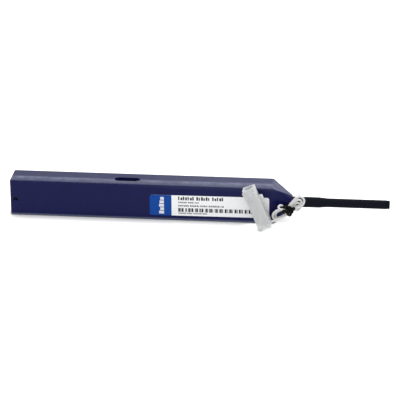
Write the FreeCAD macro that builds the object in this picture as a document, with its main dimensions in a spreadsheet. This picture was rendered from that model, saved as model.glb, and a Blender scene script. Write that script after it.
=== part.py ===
"""Push-type cleaning pen for fibre connectors, as a parametric FreeCAD document.

Frame: +X runs along the pen to the nozzle, +Z is up and the label is on the -Y side.  The origin is under the
middle of the pen, on the surface that its lower narrow side rests on.  All lengths are in millimetres.

How it works: the carriage holds the nozzle, the reels and the turning shaft, and slides back into the housing when
the nozzle is pressed on a connector.  A rack in the housing turns the drive pinion, whose pawls draw the take-up
reel round, and a pin in the housing follows a helical groove and turns the shaft with the cleaning tip.
"""

import FreeCAD
import Part

import math
import os

import Sketcher
from FreeCAD import Matrix, Placement, Rotation, Vector

# alias, size in millimetres (or degrees, or a count), what it is
DRIVING = (
    ("overall_length", 210.0, "rear face to nozzle mouth"),
    ("body_length", 145.6, "rear face to the start of the nose"),
    ("body_width", 15.8, "across the narrow sides"),
    ("body_height", 20.7, "across the wide sides"),
    ("edge_radius", 0.6, "long outer edges"),
    ("rear_radius", 1.0, "edges of the rear face"),
    ("wall", 1.7, "housing wall"),
    ("rear_block", 5.0, "solid rear end of the housing"),
    ("nose_length", 10.9, "square-to-round nose"),
    ("nose_radius", 3.75, "round end of the nose"),
    ("apex_width", 0.5, "flat where a nose facet meets the round end"),
    ("mouth_corner", 0.8, "where the rounded edges of the nose run out, from the middle"),
    ("front_stop", 144.0, "inner shoulder that stops the nozzle flange"),
    ("nose_bore_radius", 2.98, "bore that guides the nozzle"),
    ("slot_start", 57.7, "latch slot in the upper side"),
    ("slot_length", 14.3, "latch slot, end to end"),
    ("slot_width", 5.1, "latch slot"),
    ("slot_offset", 0.9, "latch slot, from the middle towards the labelled side"),
    ("strap_radius", 1.25, "strap hole"),
    ("strap_inset", 3.1, "strap hole from the rear face"),
    ("strap_height", 9.3, "strap hole above the rest"),
    ("peg_radius", 0.7, "locating pegs"),
    ("peg_depth", 1.6, "how far a peg enters its socket"),
    ("boss_radius", 1.3, "bosses round the pegs"),
    ("peg_rear", 8.0, "rear pair of pegs"),
    ("peg_front", 142.4, "front pair of pegs"),
    ("peg_spread", 6.95, "pegs above and below the centre line"),
    ("notch_length", 2.0, "pry notches in the lower edge"),
    ("notch_depth", 0.7, "pry notches"),
    ("notch_rear", 77.7, "rear pry notch"),
    ("notch_front", 108.8, "front pry notch"),
    ("label_start", 78.05, "label from the rear face"),
    ("label_length", 66.0, "label"),
    ("label_height", 12.05, "label"),
    ("label_base", 2.9, "lower rear corner of the label"),
    ("label_tilt", 0.37, "degrees that the label is stuck on askew"),
    ("label_corner", 1.2, "corner radius of the label"),
    ("label_thickness", 0.15, "label"),
    ("gear_module", 0.8, "drive pinion and rack"),
    ("gear_teeth", 15.0, "drive pinion"),
    ("gear_backlash", 0.1, "taken off each flank"),
    ("rack_start", 42.6, "rack from the rear face"),
    ("rack_teeth", 11.0, "rack"),
    ("rack_width", 2.7, "rack"),
    ("rack_side", -4.0, "outer side of the rack"),
    ("stroke", 12.0, "travel of the carriage"),
    ("follower_place", 110.0, "helix follower pin"),
    ("follower_radius", 0.75, "helix follower pin"),
    ("follower_reach", 3.2, "pin end from the shaft axis"),
    ("groove_width", 2.75, "helical groove along the axis"),
    ("groove_floor", 2.95, "radius at the floor of the groove"),
    ("groove_lead", 24.0, "helical groove, one turn"),
    ("groove_spare", 1.3, "groove beyond the stroke at each end"),
    ("drum_radius", 4.2, "grooved drum"),
    ("drum_start", 104.0, "grooved drum"),
    ("drum_end", 128.0, "grooved drum"),
    ("journal_radius", 2.2, "ends of the drum in their bearings"),
    ("journal_rear", 100.0, "rear end of the rotor"),
    ("journal_front", 131.6, "front end of the rotor"),
    ("running_gap", 0.05, "radial play of a shaft in its bearing"),
    ("shaft_radius", 1.45, "turning tube in the nozzle"),
    ("shaft_bore", 0.8, "turning tube in the nozzle"),
    ("shaft_seat", 124.0, "where the tube is pressed into the rotor"),
    ("shaft_end", 199.0, "front end of the turning tube"),
    ("tip_start", 201.6, "rear of the cleaning tip"),
    ("tip_end", 209.1, "mouth of the cleaning tip"),
    ("tip_bar", 0.2, "radius of the bar that the thread turns over"),
    ("nozzle_base_radius", 2.9, "thick base of the nozzle"),
    ("nozzle_radius", 2.475, "slim front of the nozzle"),
    ("taper_start", 171.2, "end of the thick base"),
    ("taper_end", 175.6, "start of the slim front"),
    ("nozzle_bore", 1.75, "bore of the nozzle"),
    ("nozzle_spigot", 134.6, "rear end of the nozzle"),
    ("flange_start", 138.9, "nozzle flange"),
    ("flange_end", 141.9, "nozzle flange"),
    ("flange_radius", 5.2, "nozzle flange"),
    ("lip_width", 1.1, "rim at the nozzle mouth"),
    ("lip_groove", 0.2, "depth of the groove behind the rim"),
    ("frame_start", 24.5, "carriage side plates"),
    ("frame_end", 138.9, "carriage side plates"),
    ("frame_base", 2.3, "lower edge of the carriage plates"),
    ("frame_top", 18.4, "upper edge of the carriage plates"),
    ("frame_inner", 4.3, "inner face of the carriage frame plate"),
    ("frame_outer", 5.9, "outer face of the carriage frame plate"),
    ("cover_inner", 4.6, "inner face of the carriage cover"),
    ("rear_wall", 1.5, "rear wall of the carriage"),
    ("spigot_radius", 3.6, "spring seat on the carriage"),
    ("spigot_length", 4.5, "spring seat on the carriage"),
    ("bearing_height", 9.6, "bearing blocks"),
    ("post_radius", 1.0, "latch post in the slot"),
    ("post_place", 70.85, "latch post at rest"),
    ("post_top", 19.8, "top of the latch post"),
    ("arm_base", 18.05, "arm that carries the latch post"),
    ("arm_top", 18.75, "arm that carries the latch post"),
    ("spring_radius", 5.0, "return spring, to the wire's middle"),
    ("spring_wire", 0.45, "return spring wire radius"),
    ("spring_turns", 5.5, "return spring"),
    ("tip_spring_radius", 1.2, "tip spring, to the wire's middle"),
    ("tip_spring_wire", 0.16, "tip spring wire radius"),
    ("tip_spring_turns", 4.5, "tip spring"),
    ("supply_place", 36.0, "supply reel axis"),
    ("supply_flange", 7.7, "supply reel flanges"),
    ("supply_hub", 3.0, "supply reel hub"),
    ("supply_wound", 7.0, "clean thread on its reel"),
    ("supply_half", 3.7, "half the width of the supply reel"),
    ("takeup_place", 62.0, "take-up reel axis"),
    ("takeup_flange", 6.6, "take-up reel flanges"),
    ("takeup_hub", 2.6, "take-up reel hub"),
    ("takeup_wound", 4.0, "used thread on its reel"),
    ("takeup_inner", -1.0, "pinion side of the take-up reel"),
    ("takeup_outer", 3.9, "frame side of the take-up reel"),
    ("ratchet_depth", 1.2, "ratchet recess in the take-up reel"),
    ("ratchet_radius", 4.6, "inner ends of the ratchet teeth"),
    ("ratchet_root", 5.4, "bottom of the ratchet teeth"),
    ("ratchet_teeth", 12.0, "ratchet teeth"),
    ("pawl_radius", 4.45, "reach of the pawls, held in"),
    ("reel_flange", 0.7, "thickness of a reel flange"),
    ("axle_radius", 1.0, "reel axles"),
    ("brake_gap", 0.6, "room for the brake washer"),
    ("thread_radius", 0.18, "cleaning thread"),
    ("strand_offset", 0.4, "each strand from the shaft axis"),
    ("guide_radius", 1.5, "thread guide posts"),
    ("guide_place", 84.5, "corner of the clean thread at its post"),
    ("entry_place", 96.0, "corner of the threads ahead of the rotor"),
    ("cap_width", 7.3, "guide cap"),
    ("cap_depth", 7.6, "guide cap, lower block"),
    ("cap_length", 24.7, "guide cap"),
    ("cap_block", 17.5, "length of the lower block"),
    ("cap_head_depth", 5.9, "guide cap, upper block"),
    ("cap_wall", 0.7, "guide cap walls"),
    ("cap_socket", 10.5, "depth of the connector socket"),
    ("cap_bore_radius", 2.5, "bore that slips over the nozzle"),
    ("cap_step", 0.5, "how much narrower the upper block is"),
    ("cap_edge", 0.5, "edge radius of the cap"),
    ("cap_ear", 1.1, "ear on the side of the cap"),
    ("cap_rib", 0.9, "rib on the rear side of the upper block"),
    ("cap_x", 34.12, "lowest corner of the cap"),
    ("cap_y", -18.9, "lowest corner of the cap"),
    ("cap_z", 0.05, "lowest corner of the cap"),
    ("cap_roll", 22.6, "degrees that the cap leans to the rear"),
    ("cap_yaw", -1.7, "degrees that the cap is turned"),
    ("cord_radius", 0.6, "tether cord"),
    ("hank_thickness", 2.6, "flat hank of cord"),
    ("hank_low_radius", 3.2, "lower loops of the hank"),
    ("hank_high_radius", 4.3, "upper loops of the hank"),
    ("hank_waist", 3.8, "waist of the hank"),
    ("hank_span", 12.6, "between the middles of the loops"),
    ("hank_x", 44.0, "middle of the lower loops"),
    ("hank_y", -9.6, "middle of the lower loops"),
    ("hank_z", 6.5, "middle of the lower loops"),
    ("hank_rise", 26.5, "degrees that the hank climbs to the front"),
    ("hank_turn", 18.5, "degrees that the hank turns towards the nozzle"),
    ("tie_length", 5.6, "tie round the hank"),
    ("tie_wall", 1.0, "tie round the hank"),
    ("anchor_place", 159.4, "loop of cord round the nozzle"),
    ("anchor_radius", 4.1, "loop of cord round the nozzle"),
)


class Size:
    """A number that remembers the sheet expression it comes from."""

    def __init__(self, value, text):
        self.value = float(value)
        self.text = text

    @staticmethod
    def of(other):
        if isinstance(other, Size):
            return other
        return Size(other, f"({float(other):.6f})")

    def __add__(self, other):
        other = Size.of(other)
        return Size(self.value + other.value, f"({self.text} + {other.text})")

    def __sub__(self, other):
        other = Size.of(other)
        return Size(self.value - other.value, f"({self.text} - {other.text})")

    def __mul__(self, other):
        other = Size.of(other)
        return Size(self.value * other.value, f"({self.text} * {other.text})")

    def __truediv__(self, other):
        other = Size.of(other)
        return Size(self.value / other.value, f"({self.text} / {other.text})")

    def __neg__(self):
        return Size(-self.value, f"(0 - {self.text})")

    def __radd__(self, other):
        return Size.of(other) + self

    def __rsub__(self, other):
        return Size.of(other) - self

    def __rmul__(self, other):
        return Size.of(other) * self


ZERO = Size(0, "0")

doc = FreeCAD.newDocument("CleaningPen")
sheet = doc.addObject("Spreadsheet::Sheet", "Sheet")
for row, (alias, number, meaning) in enumerate(DRIVING, start=1):
    sheet.set(f"A{row}", alias)
    sheet.set(f"B{row}", str(number))
    sheet.set(f"C{row}", meaning)
    sheet.setAlias(f"B{row}", alias)
doc.recompute()


class Dimensions:
    """The sheet's cells as Size attributes."""

    def __init__(self):
        for alias, number, _ in DRIVING:
            setattr(self, alias, Size(number, f"Sheet.{alias}"))


D = Dimensions()
HALF_LENGTH = D.overall_length / 2
AXIS_HEIGHT = D.body_height / 2
PITCH_RADIUS = D.gear_module * D.gear_teeth / 2
PITCH = D.gear_module * math.pi
ADDENDUM = D.gear_module
DEDENDUM = D.gear_module * 1.2
INNER_SIDE = D.body_width / 2 - D.wall
NODES = {}


def along(from_rear):
    """X of a place that is measured from the rear face."""
    return Size.of(from_rear) - HALF_LENGTH


# ---------------------------------------------------------------- helpers: document objects


def bind(item, **sizes):
    """Bind properties of an object to sizes."""
    for name, size in sizes.items():
        item.setExpression(name, Size.of(size).text)


def place(item, x=ZERO, y=ZERO, z=ZERO, rotation=None):
    """Turn an object and bind its position."""
    if rotation is not None:
        item.Placement = Placement(Vector(), rotation)
    for axis, size in zip("xyz", (x, y, z)):
        item.setExpression(f"Placement.Base.{axis}", Size.of(size).text)
    return item


TURN_TO = {
    "X": Rotation(Vector(0, 1, 0), 90),
    "Y": Rotation(Vector(1, 0, 0), -90),
    "Z": Rotation(),
}


def box(name, start, end):
    """A Part::Box between two corners."""
    item = doc.addObject("Part::Box", name)
    low = [Size.of(s) for s in start]
    high = [Size.of(s) for s in end]
    bind(item, Length=high[0] - low[0], Width=high[1] - low[1], Height=high[2] - low[2])
    return place(item, *low)


def cylinder(name, axis, radius, start, length):
    """A Part::Cylinder that runs from a start point along an axis."""
    item = doc.addObject("Part::Cylinder", name)
    bind(item, Radius=radius, Height=length)
    return place(item, *start, rotation=TURN_TO[axis])


def fuse(name, *items):
    item = doc.addObject("Part::MultiFuse", name)
    item.Shapes = list(items)
    return item


def cut(name, base, *tools):
    item = doc.addObject("Part::Cut", name)
    item.Base = base
    item.Tool = tools[0] if len(tools) == 1 else fuse(f"{name}_tools", *tools)
    return item


def common(name, base, tool):
    item = doc.addObject("Part::Common", name)
    item.Base, item.Tool = base, tool
    return item


def keep(node, item):
    """Name an object as a sub-part of the pen."""
    item.Label = node
    NODES[node] = item
    return item


# ---------------------------------------------------------------- helpers: bodies and sketches


def body(name):
    return doc.addObject("PartDesign::Body", name)


def origin_item(owner, role):
    return next(f for f in owner.Origin.OriginFeatures if f.Role == role)


def sketch_on(owner, name, plane, offset=ZERO):
    """An empty sketch on one of the body's own planes, moved along the plane's normal."""
    sketch = owner.newObject("Sketcher::SketchObject", name)
    sketch.AttachmentSupport = [(origin_item(owner, f"{plane}_Plane"), "")]
    sketch.MapMode = "FlatFace"
    sketch.setExpression("AttachmentOffset.Base.z", Size.of(offset).text)
    return sketch


def pin_point(sketch, edge, end, x, y):
    """Fix one end of an edge by its two distances from the sketch's origin."""
    for kind, size in (("DistanceX", Size.of(x)), ("DistanceY", Size.of(y))):
        index = sketch.addConstraint(Sketcher.Constraint(kind, -1, 1, edge, end, size.value))
        sketch.setExpression(f"Constraints[{index}]", size.text)


def polygon(sketch, corners):
    """A closed outline whose corners are all fixed by sizes."""
    points = [(Size.of(x), Size.of(y)) for x, y in corners]
    for (x0, y0), (x1, y1) in zip(points, points[1:] + points[:1]):
        sketch.addGeometry(
            Part.LineSegment(Vector(x0.value, y0.value, 0), Vector(x1.value, y1.value, 0))
        )
    count = len(points)
    for edge in range(count):
        sketch.addConstraint(
            Sketcher.Constraint("Coincident", edge, 2, (edge + 1) % count, 1)
        )
    for edge, (x, y) in enumerate(points):
        pin_point(sketch, edge, 1, x, y)
    return sketch


def circle(sketch, radius, x=ZERO, y=ZERO):
    """A circle fixed by its centre and radius."""
    x, y, radius = Size.of(x), Size.of(y), Size.of(radius)
    centre = Vector(x.value, y.value, 0)
    edge = sketch.addGeometry(Part.Circle(centre, Vector(0, 0, 1), radius.value))
    pin_point(sketch, edge, 3, x, y)
    index = sketch.addConstraint(Sketcher.Constraint("Radius", edge, radius.value))
    sketch.setExpression(f"Constraints[{index}]", radius.text)
    return sketch


def corner_loop(sketch, stops, centres, radius):
    """Straight edges joined by arcs: stops are the arcs' ends, two to a centre, in order round the outline."""
    count = len(centres)
    radius = Size.of(radius)
    for number, (cx, cy) in enumerate(centres):
        start, end = stops[2 * number], stops[2 * number + 1]
        first, last = [math.atan2(y.value - cy.value, x.value - cx.value) for x, y in (start, end)]
        if last < first:
            last += 2 * math.pi
        round_edge = Part.Circle(Vector(cx.value, cy.value, 0), Vector(0, 0, 1), radius.value)
        sketch.addGeometry(Part.ArcOfCircle(round_edge, first, last))
        after = stops[(2 * number + 2) % (2 * count)]
        sketch.addGeometry(
            Part.LineSegment(
                Vector(end[0].value, end[1].value, 0), Vector(after[0].value, after[1].value, 0)
            )
        )
    for number, (cx, cy) in enumerate(centres):
        arc, line = 2 * number, 2 * number + 1
        sketch.addConstraint(Sketcher.Constraint("Coincident", arc, 2, line, 1))
        sketch.addConstraint(
            Sketcher.Constraint("Coincident", line, 2, (line + 1) % (2 * count), 1)
        )
        pin_point(sketch, arc, 1, *stops[2 * number])
        pin_point(sketch, arc, 3, cx, cy)
        x, y = stops[2 * number + 1]
        kind, size = ("DistanceX", x) if abs(x.value - cx.value) < 1e-6 else ("DistanceY", y)
        index = sketch.addConstraint(Sketcher.Constraint(kind, -1, 1, arc, 2, size.value))
        sketch.setExpression(f"Constraints[{index}]", size.text)
    return sketch


def rounded_rectangle(sketch, low, high, radius):
    """A rectangle between two corners with round corners: eight edges, the first one at its upper right."""
    (left, bottom), (right, top) = [[Size.of(s) for s in corner] for corner in (low, high)]
    stops = [
        (right, top - radius), (right - radius, top), (left + radius, top), (left, top - radius),
        (left, bottom + radius), (left + radius, bottom), (right - radius, bottom), (right, bottom + radius),
    ]  # fmt: skip
    centres = [
        (right - radius, top - radius),
        (left + radius, top - radius),
        (left + radius, bottom + radius),
        (right - radius, bottom + radius),
    ]
    return corner_loop(sketch, stops, centres, radius)


def round_slot(sketch, start, end, level, radius):
    """A slot along the sketch's first axis, between the middles of its two round ends."""
    low, high = level - radius, level + radius
    stops = [(end, low), (end, high), (start, high), (start, low)]
    return corner_loop(sketch, stops, [(end, Size.of(level)), (start, Size.of(level))], radius)


def fillet(owner, name, edges, radius):
    """Round those edges of the body's last feature that a test picks."""
    doc.recompute()
    base = owner.Tip
    picked = [f"Edge{number}" for number, edge in enumerate(base.Shape.Edges, start=1) if edges(edge)]
    item = owner.newObject("PartDesign::Fillet", name)
    item.Base = (base, picked)
    bind(item, Radius=radius)
    return item


def pad(owner, name, sketch, length, reverse=False):
    item = owner.newObject("PartDesign::Pad", name)
    item.Profile = sketch
    item.Reversed = reverse
    bind(item, Length=length)
    return item


def pocket(owner, name, sketch, length, reverse=False):
    item = owner.newObject("PartDesign::Pocket", name)
    item.Profile = sketch
    item.Reversed = reverse
    bind(item, Length=length)
    return item


def spin(owner, name, kind, sketch, axis):
    """A full Revolution or Groove about one of the sketch's own axes."""
    item = owner.newObject(f"PartDesign::{kind}", name)
    item.Profile = sketch
    item.ReferenceAxis = (sketch, [axis])
    item.Angle = 360
    return item


def turned(node, plane, axis, corners, at):
    """A turned piece: a body with one revolved outline, at its place."""
    owner = body(f"{node}_body")
    outline = polygon(sketch_on(owner, f"{node}_outline", plane), corners)
    spin(owner, f"{node}_turning", "Revolution", outline, axis)
    return owner, place(owner, *at)


def repeat(owner, name, feature, sketch, axis, count, length=None):
    """A linear pattern over a length, or a polar pattern over a full turn."""
    kind = "LinearPattern" if length is not None else "PolarPattern"
    item = owner.newObject(f"PartDesign::{kind}", name)
    item.Originals = [feature]
    if length is not None:
        item.Direction = (sketch, [axis])
        bind(item, Length=length)
    else:
        item.Axis = (sketch, [axis])
        item.Angle = 360
    bind(item, Occurrences=count)
    owner.Tip = item
    return item


# ---------------------------------------------------------------- housing


def housing_form():
    """Both shells as one moulded form about the pen's centre line: square tube, nose, cavity, slot and strap hole."""
    form = body("housing_form")
    half_width, half_height = D.body_width / 2, D.body_height / 2

    section = polygon(
        sketch_on(form, "tube_section", "YZ", along(0)),
        [
            (half_width * side, half_height * level)
            for side, level in ((-1, -1), (1, -1), (1, 1), (-1, 1))
        ],
    )
    pad(form, "tube", section, D.body_length)
    rear_x, front_x = along(0).value, along(D.body_length).value

    def rear_upright(edge):
        return all(abs(v.X - rear_x) < 1e-4 for v in edge.Vertexes) and (
            abs(edge.tangentAt(edge.FirstParameter).z) > 0.99
        )

    def narrow_side_rim(edge):
        at_rim = all(abs(abs(v.Z) - half_height.value) < 1e-4 for v in edge.Vertexes)
        return at_rim and min(v.X for v in edge.Vertexes) < front_x - 1

    fillet(form, "rear_rounding", rear_upright, D.rear_radius)
    fillet(form, "long_rounding", narrow_side_rim, D.edge_radius)

    root = rounded_rectangle(
        sketch_on(form, "nose_root", "YZ", along(D.body_length)),
        (-half_width, -half_height),
        (half_width, half_height),
        D.edge_radius,
    )
    mouth = sketch_on(form, "nose_mouth", "YZ", along(D.body_length + D.nose_length))
    nose_mouth_outline(mouth)
    nose = form.newObject("PartDesign::AdditiveLoft", "nose")
    nose.Profile = root
    nose.Sections = [mouth]
    nose.Ruled = True

    cavity = polygon(
        sketch_on(form, "cavity_section", "YZ", along(D.rear_block)),
        [
            (INNER_SIDE * side, (half_height - D.wall) * level)
            for side, level in ((-1, -1), (1, -1), (1, 1), (-1, 1))
        ],
    )
    pocket(form, "cavity", cavity, D.front_stop - D.rear_block, reverse=True)

    bore_rear, bore_front = along(D.front_stop - 0.1), along(D.body_length + D.nose_length + 1)
    cone_end = along(D.front_stop + 6.5)
    bore = polygon(
        sketch_on(form, "nose_bore_outline", "XZ"),
        [
            (bore_rear, 0),
            (bore_front, 0),
            (bore_front, D.nose_bore_radius),
            (cone_end, D.nose_bore_radius),
            (bore_rear, D.flange_radius * 0.86),
        ],
    )
    spin(form, "nose_bore", "Groove", bore, "H_Axis")

    radius = D.slot_width / 2
    slot = round_slot(
        sketch_on(form, "slot_outline", "XY", half_height + 1),
        along(D.slot_start) + radius,
        along(D.slot_start + D.slot_length) - radius,
        -D.slot_offset,
        radius,
    )
    pocket(form, "latch_slot", slot, D.wall + 2)

    strap = circle(
        sketch_on(form, "strap_outline", "XZ", -half_width - 1),
        D.strap_radius,
        along(D.strap_inset),
        D.strap_height - half_height,
    )
    pocket(form, "strap_hole", strap, D.body_width + 2, reverse=True)

    for end, start in (("rear", D.notch_rear), ("front", D.notch_front)):
        notch = polygon(
            sketch_on(form, f"{end}_notch_outline", "XZ", half_width),
            [
                (along(start), -half_height - 1),
                (along(start + D.notch_length), -half_height - 1),
                (along(start + D.notch_length), -half_height + D.notch_depth),
                (along(start), -half_height + D.notch_depth),
            ],
        )
        pocket(form, f"{end}_notch", notch, D.notch_depth)

    return place(form, z=AXIS_HEIGHT)


def nose_mouth_outline(sketch):
    """The round end of the nose in eight arcs: a long one for each wide side, and three short ones
    above and below, where a narrow facet and the rounded edges beside it run out."""
    radius = D.nose_radius

    def level(across):
        return Size(
            math.sqrt(radius.value**2 - across.value**2),
            f"sqrt({radius.text} * {radius.text} - {across.text} * {across.text})",
        )

    apex, corner = D.apex_width / 2, D.mouth_corner
    high, low = level(apex), level(corner)
    points = [
        (corner, low), (apex, high), (-apex, high), (-corner, low),
        (-corner, -low), (-apex, -high), (apex, -high), (corner, -low),
    ]  # fmt: skip
    ring = Part.Circle(Vector(), Vector(0, 0, 1), radius.value)
    count = len(points)
    for number, (x, y) in enumerate(points):
        x1, y1 = points[(number + 1) % count]
        first, last = math.atan2(y.value, x.value), math.atan2(y1.value, x1.value)
        if last < first:
            last += 2 * math.pi
        sketch.addGeometry(Part.ArcOfCircle(ring, first, last))
    for number, (x, _) in enumerate(points):
        sketch.addConstraint(Sketcher.Constraint("Coincident", number, 2, (number + 1) % count, 1))
        sketch.addConstraint(Sketcher.Constraint("Coincident", number, 3, -1, 1))
        index = sketch.addConstraint(Sketcher.Constraint("DistanceX", -1, 1, number, 1, x.value))
        sketch.setExpression(f"Constraints[{index}]", x.text)
    index = sketch.addConstraint(Sketcher.Constraint("Radius", 0, radius.value))
    sketch.setExpression(f"Constraints[{index}]", radius.text)
    return sketch


def peg_places():
    """Name, X and Z of the four pegs that locate the shells."""
    for end, start in (("rear", D.peg_rear), ("front", D.peg_front)):
        for level, sign in (("low", -1), ("high", 1)):
            yield f"{end}_{level}", along(start), AXIS_HEIGHT + D.peg_spread * sign


def housing():
    """The two shells, which meet on the middle of the narrow sides."""
    form = housing_form()
    reach = D.body_width
    start, end = along(-1), along(D.overall_length)
    front_room = box("front_room", (start, -reach, -1), (end, 0, D.body_height + 1))
    rear_room = box("rear_room", (start, 0, -1), (end, reach, D.body_height + 1))
    front = common("front_shell_wall", form, front_room)
    back = common("back_shell_wall", form, rear_room)

    front_bosses, back_bosses, sockets = [], [], []
    for name, x, z in peg_places():
        front_bosses.append(
            cylinder(f"front_boss_{name}", "Y", D.boss_radius, (x, -INNER_SIDE - 0.2, z), INNER_SIDE + 0.2)
        )
        front_bosses.append(
            cylinder(f"peg_{name}", "Y", D.peg_radius, (x, -0.5, z), D.peg_depth + 0.5)
        )
        back_bosses.append(
            cylinder(f"back_boss_{name}", "Y", D.boss_radius, (x, 0, z), INNER_SIDE + 0.2)
        )
        sockets.append(
            cylinder(f"socket_{name}", "Y", D.peg_radius + 0.05, (x, -0.5, z), D.peg_depth + 0.8)
        )
    seat = cylinder(
        "follower_seat",
        "Y",
        D.follower_radius,
        (along(D.follower_place), -INNER_SIDE - 0.9, AXIS_HEIGHT),
        2,
    )
    front_solid = fuse("front_shell_with_pegs", front, *front_bosses)
    keep("housing_front", cut("front_shell", front_solid, seat))
    back_solid = fuse("back_shell_with_bosses", back, *back_bosses)
    keep("housing_back", cut("back_shell", back_solid, *sockets))


def label():
    """The printed label on the wide side, stuck on slightly askew."""
    sheet_body = body("label_body")
    outline = rounded_rectangle(
        sketch_on(sheet_body, "label_outline", "XZ"),
        (0, 0),
        (D.label_length, D.label_height),
        D.label_corner,
    )
    pad(sheet_body, "label_sheet", outline, D.label_thickness)
    tilt = Rotation(Vector(0, -1, 0), D.label_tilt.value)
    keep(
        "label",
        place(sheet_body, along(D.label_start), -D.body_width / 2, D.label_base, rotation=tilt),
    )


def rack():
    """The rack on the housing floor that turns the drive pinion."""
    owner = body("rack_body")
    floor, line = D.wall, AXIS_HEIGHT - PITCH_RADIUS
    length = D.rack_teeth * PITCH
    strip = polygon(
        sketch_on(owner, "rack_strip_outline", "XZ"),
        [(0, floor), (length, floor), (length, line - DEDENDUM), (0, line - DEDENDUM)],
    )
    pad(owner, "rack_strip", strip, D.rack_width)
    slope = math.tan(math.radians(20))
    middle = PITCH / 2
    half_root = PITCH / 4 - D.gear_backlash + DEDENDUM * slope
    half_tip = PITCH / 4 - D.gear_backlash - ADDENDUM * slope
    tooth = sketch_on(owner, "rack_tooth_outline", "XZ")
    polygon(
        tooth,
        [
            (middle - half_root, line - DEDENDUM - 0.2),
            (middle + half_root, line - DEDENDUM - 0.2),
            (middle + half_root, line - DEDENDUM),
            (middle + half_tip, line + ADDENDUM * 0.9),
            (middle - half_tip, line + ADDENDUM * 0.9),
            (middle - half_root, line - DEDENDUM),
        ],
    )
    first = pad(owner, "rack_tooth", tooth, D.rack_width)
    repeat(owner, "rack_row", first, tooth, "H_Axis", D.rack_teeth, PITCH * (D.rack_teeth - 1))
    # A tooth stands half a pitch ahead of the strip's end, and the pinion has a gap straight below its axis.
    teeth_behind = round((D.takeup_place.value - D.rack_start.value) / PITCH.value)
    start = along(D.takeup_place) - PITCH * (teeth_behind + 0.5)
    keep("drive_rack", place(owner, start, D.rack_side + D.rack_width))


def follower_pin():
    """The steel pin in the front shell that follows the helical groove."""
    reach = INNER_SIDE + 0.9 - D.follower_reach
    pin = cylinder(
        "follower_rod",
        "Y",
        D.follower_radius,
        (along(D.follower_place), -INNER_SIDE - 0.9, AXIS_HEIGHT),
        reach,
    )
    keep("helix_follower_pin", pin)


# ---------------------------------------------------------------- carriage


def carriage_frame():
    """The sliding frame: back plate, rear wall with the spring seat, bearing blocks, nozzle block and latch post."""
    inner, outer, cover = D.frame_inner, D.frame_outer, -D.cover_inner
    low, high = AXIS_HEIGHT - D.bearing_height / 2, AXIS_HEIGHT + D.bearing_height / 2
    gap = D.running_gap
    parts = [
        box(
            "frame_plate",
            (along(D.frame_start), inner, D.frame_base),
            (along(D.frame_end), outer, D.frame_top),
        ),
        box(
            "frame_rear_wall",
            (along(D.frame_start - D.rear_wall), cover, D.frame_base + 1),
            (along(D.frame_start + 0.2), outer, D.frame_top - 1),
        ),
        cylinder(
            "spring_seat",
            "X",
            D.spigot_radius,
            (along(D.frame_start - D.rear_wall - D.spigot_length), 0, AXIS_HEIGHT),
            D.spigot_length + 0.5,
        ),
        box("rear_bearing", (along(D.journal_rear), cover, low), (along(D.drum_start - 0.4), inner + 0.2, high)),
        box("front_bearing", (along(D.drum_end + 0.4), cover, low), (along(D.journal_front), inner + 0.2, high)),
        box("nozzle_block", (along(D.nozzle_spigot), cover, low), (along(D.frame_end), inner + 0.2, high)),
        box(
            "latch_arm",
            (along(D.post_place) - D.post_radius - 0.4, -D.slot_offset - D.post_radius - 0.4, D.arm_base),
            (along(D.post_place + 9), outer, D.arm_top),
        ),
        cylinder(
            "latch_post",
            "Z",
            D.post_radius,
            (along(D.post_place), -D.slot_offset, D.arm_top - 0.2),
            D.post_top - D.arm_top + 0.2,
        ),
    ]
    for name, start in (("supply", D.supply_place), ("takeup", D.takeup_place)):
        parts.append(
            cylinder(
                f"{name}_boss",
                "Y",
                D.axle_radius * 2,
                (along(start), inner - 0.2, AXIS_HEIGHT),
                0.4,
            )
        )
    holes = [
        cylinder(
            "journal_bore",
            "X",
            D.journal_radius + gap,
            (along(D.journal_rear - 1), 0, AXIS_HEIGHT),
            D.journal_front - D.journal_rear + 2,
        ),
        cylinder(
            "spigot_bore",
            "X",
            D.nozzle_base_radius,
            (along(D.nozzle_spigot - 1), 0, AXIS_HEIGHT),
            D.frame_end - D.nozzle_spigot + 2,
        ),
    ]
    for name, start in (("supply", D.supply_place), ("takeup", D.takeup_place)):
        holes.append(
            cylinder(f"{name}_axle_hole", "Y", D.axle_radius, (along(start), 0, AXIS_HEIGHT), outer + 1)
        )
    keep("carriage_frame", cut("frame", fuse("frame_solid", *parts), *holes))


def carriage_cover():
    """The cover plate of the carriage, with the slot that the follower pin passes through."""
    owner = body("cover_body")
    plate = polygon(
        sketch_on(owner, "cover_outline", "XZ", D.cover_inner),
        [
            (along(D.frame_start), D.frame_base),
            (along(D.frame_end), D.frame_base),
            (along(D.frame_end), D.frame_top),
            (along(D.frame_start), D.frame_top),
        ],
    )
    pad(owner, "cover_plate", plate, D.frame_outer - D.cover_inner)
    slot = round_slot(
        sketch_on(owner, "pin_slot_outline", "XZ", D.frame_outer + 0.5),
        along(D.follower_place),
        along(D.follower_place + D.stroke),
        AXIS_HEIGHT,
        D.follower_radius + 0.25,
    )
    pocket(owner, "pin_slot", slot, D.frame_outer - D.cover_inner + 1)
    for name, start in (("supply", D.supply_place), ("takeup", D.takeup_place)):
        hole = circle(
            sketch_on(owner, f"{name}_end_outline", "XZ", D.frame_outer + 0.5),
            D.axle_radius,
            along(start),
            AXIS_HEIGHT,
        )
        pocket(owner, f"{name}_end_hole", hole, D.frame_outer - D.cover_inner + 1)
    keep("carriage_cover", owner)


def axles():
    """The steel axles of the two reels."""
    for name, start in (("supply", D.supply_place), ("takeup", D.takeup_place)):
        rod = cylinder(
            f"{name}_rod",
            "Y",
            D.axle_radius,
            (along(start), -D.frame_outer, AXIS_HEIGHT),
            D.frame_outer * 2,
        )
        keep("supply_axle" if name == "supply" else "take_up_axle", rod)


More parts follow.
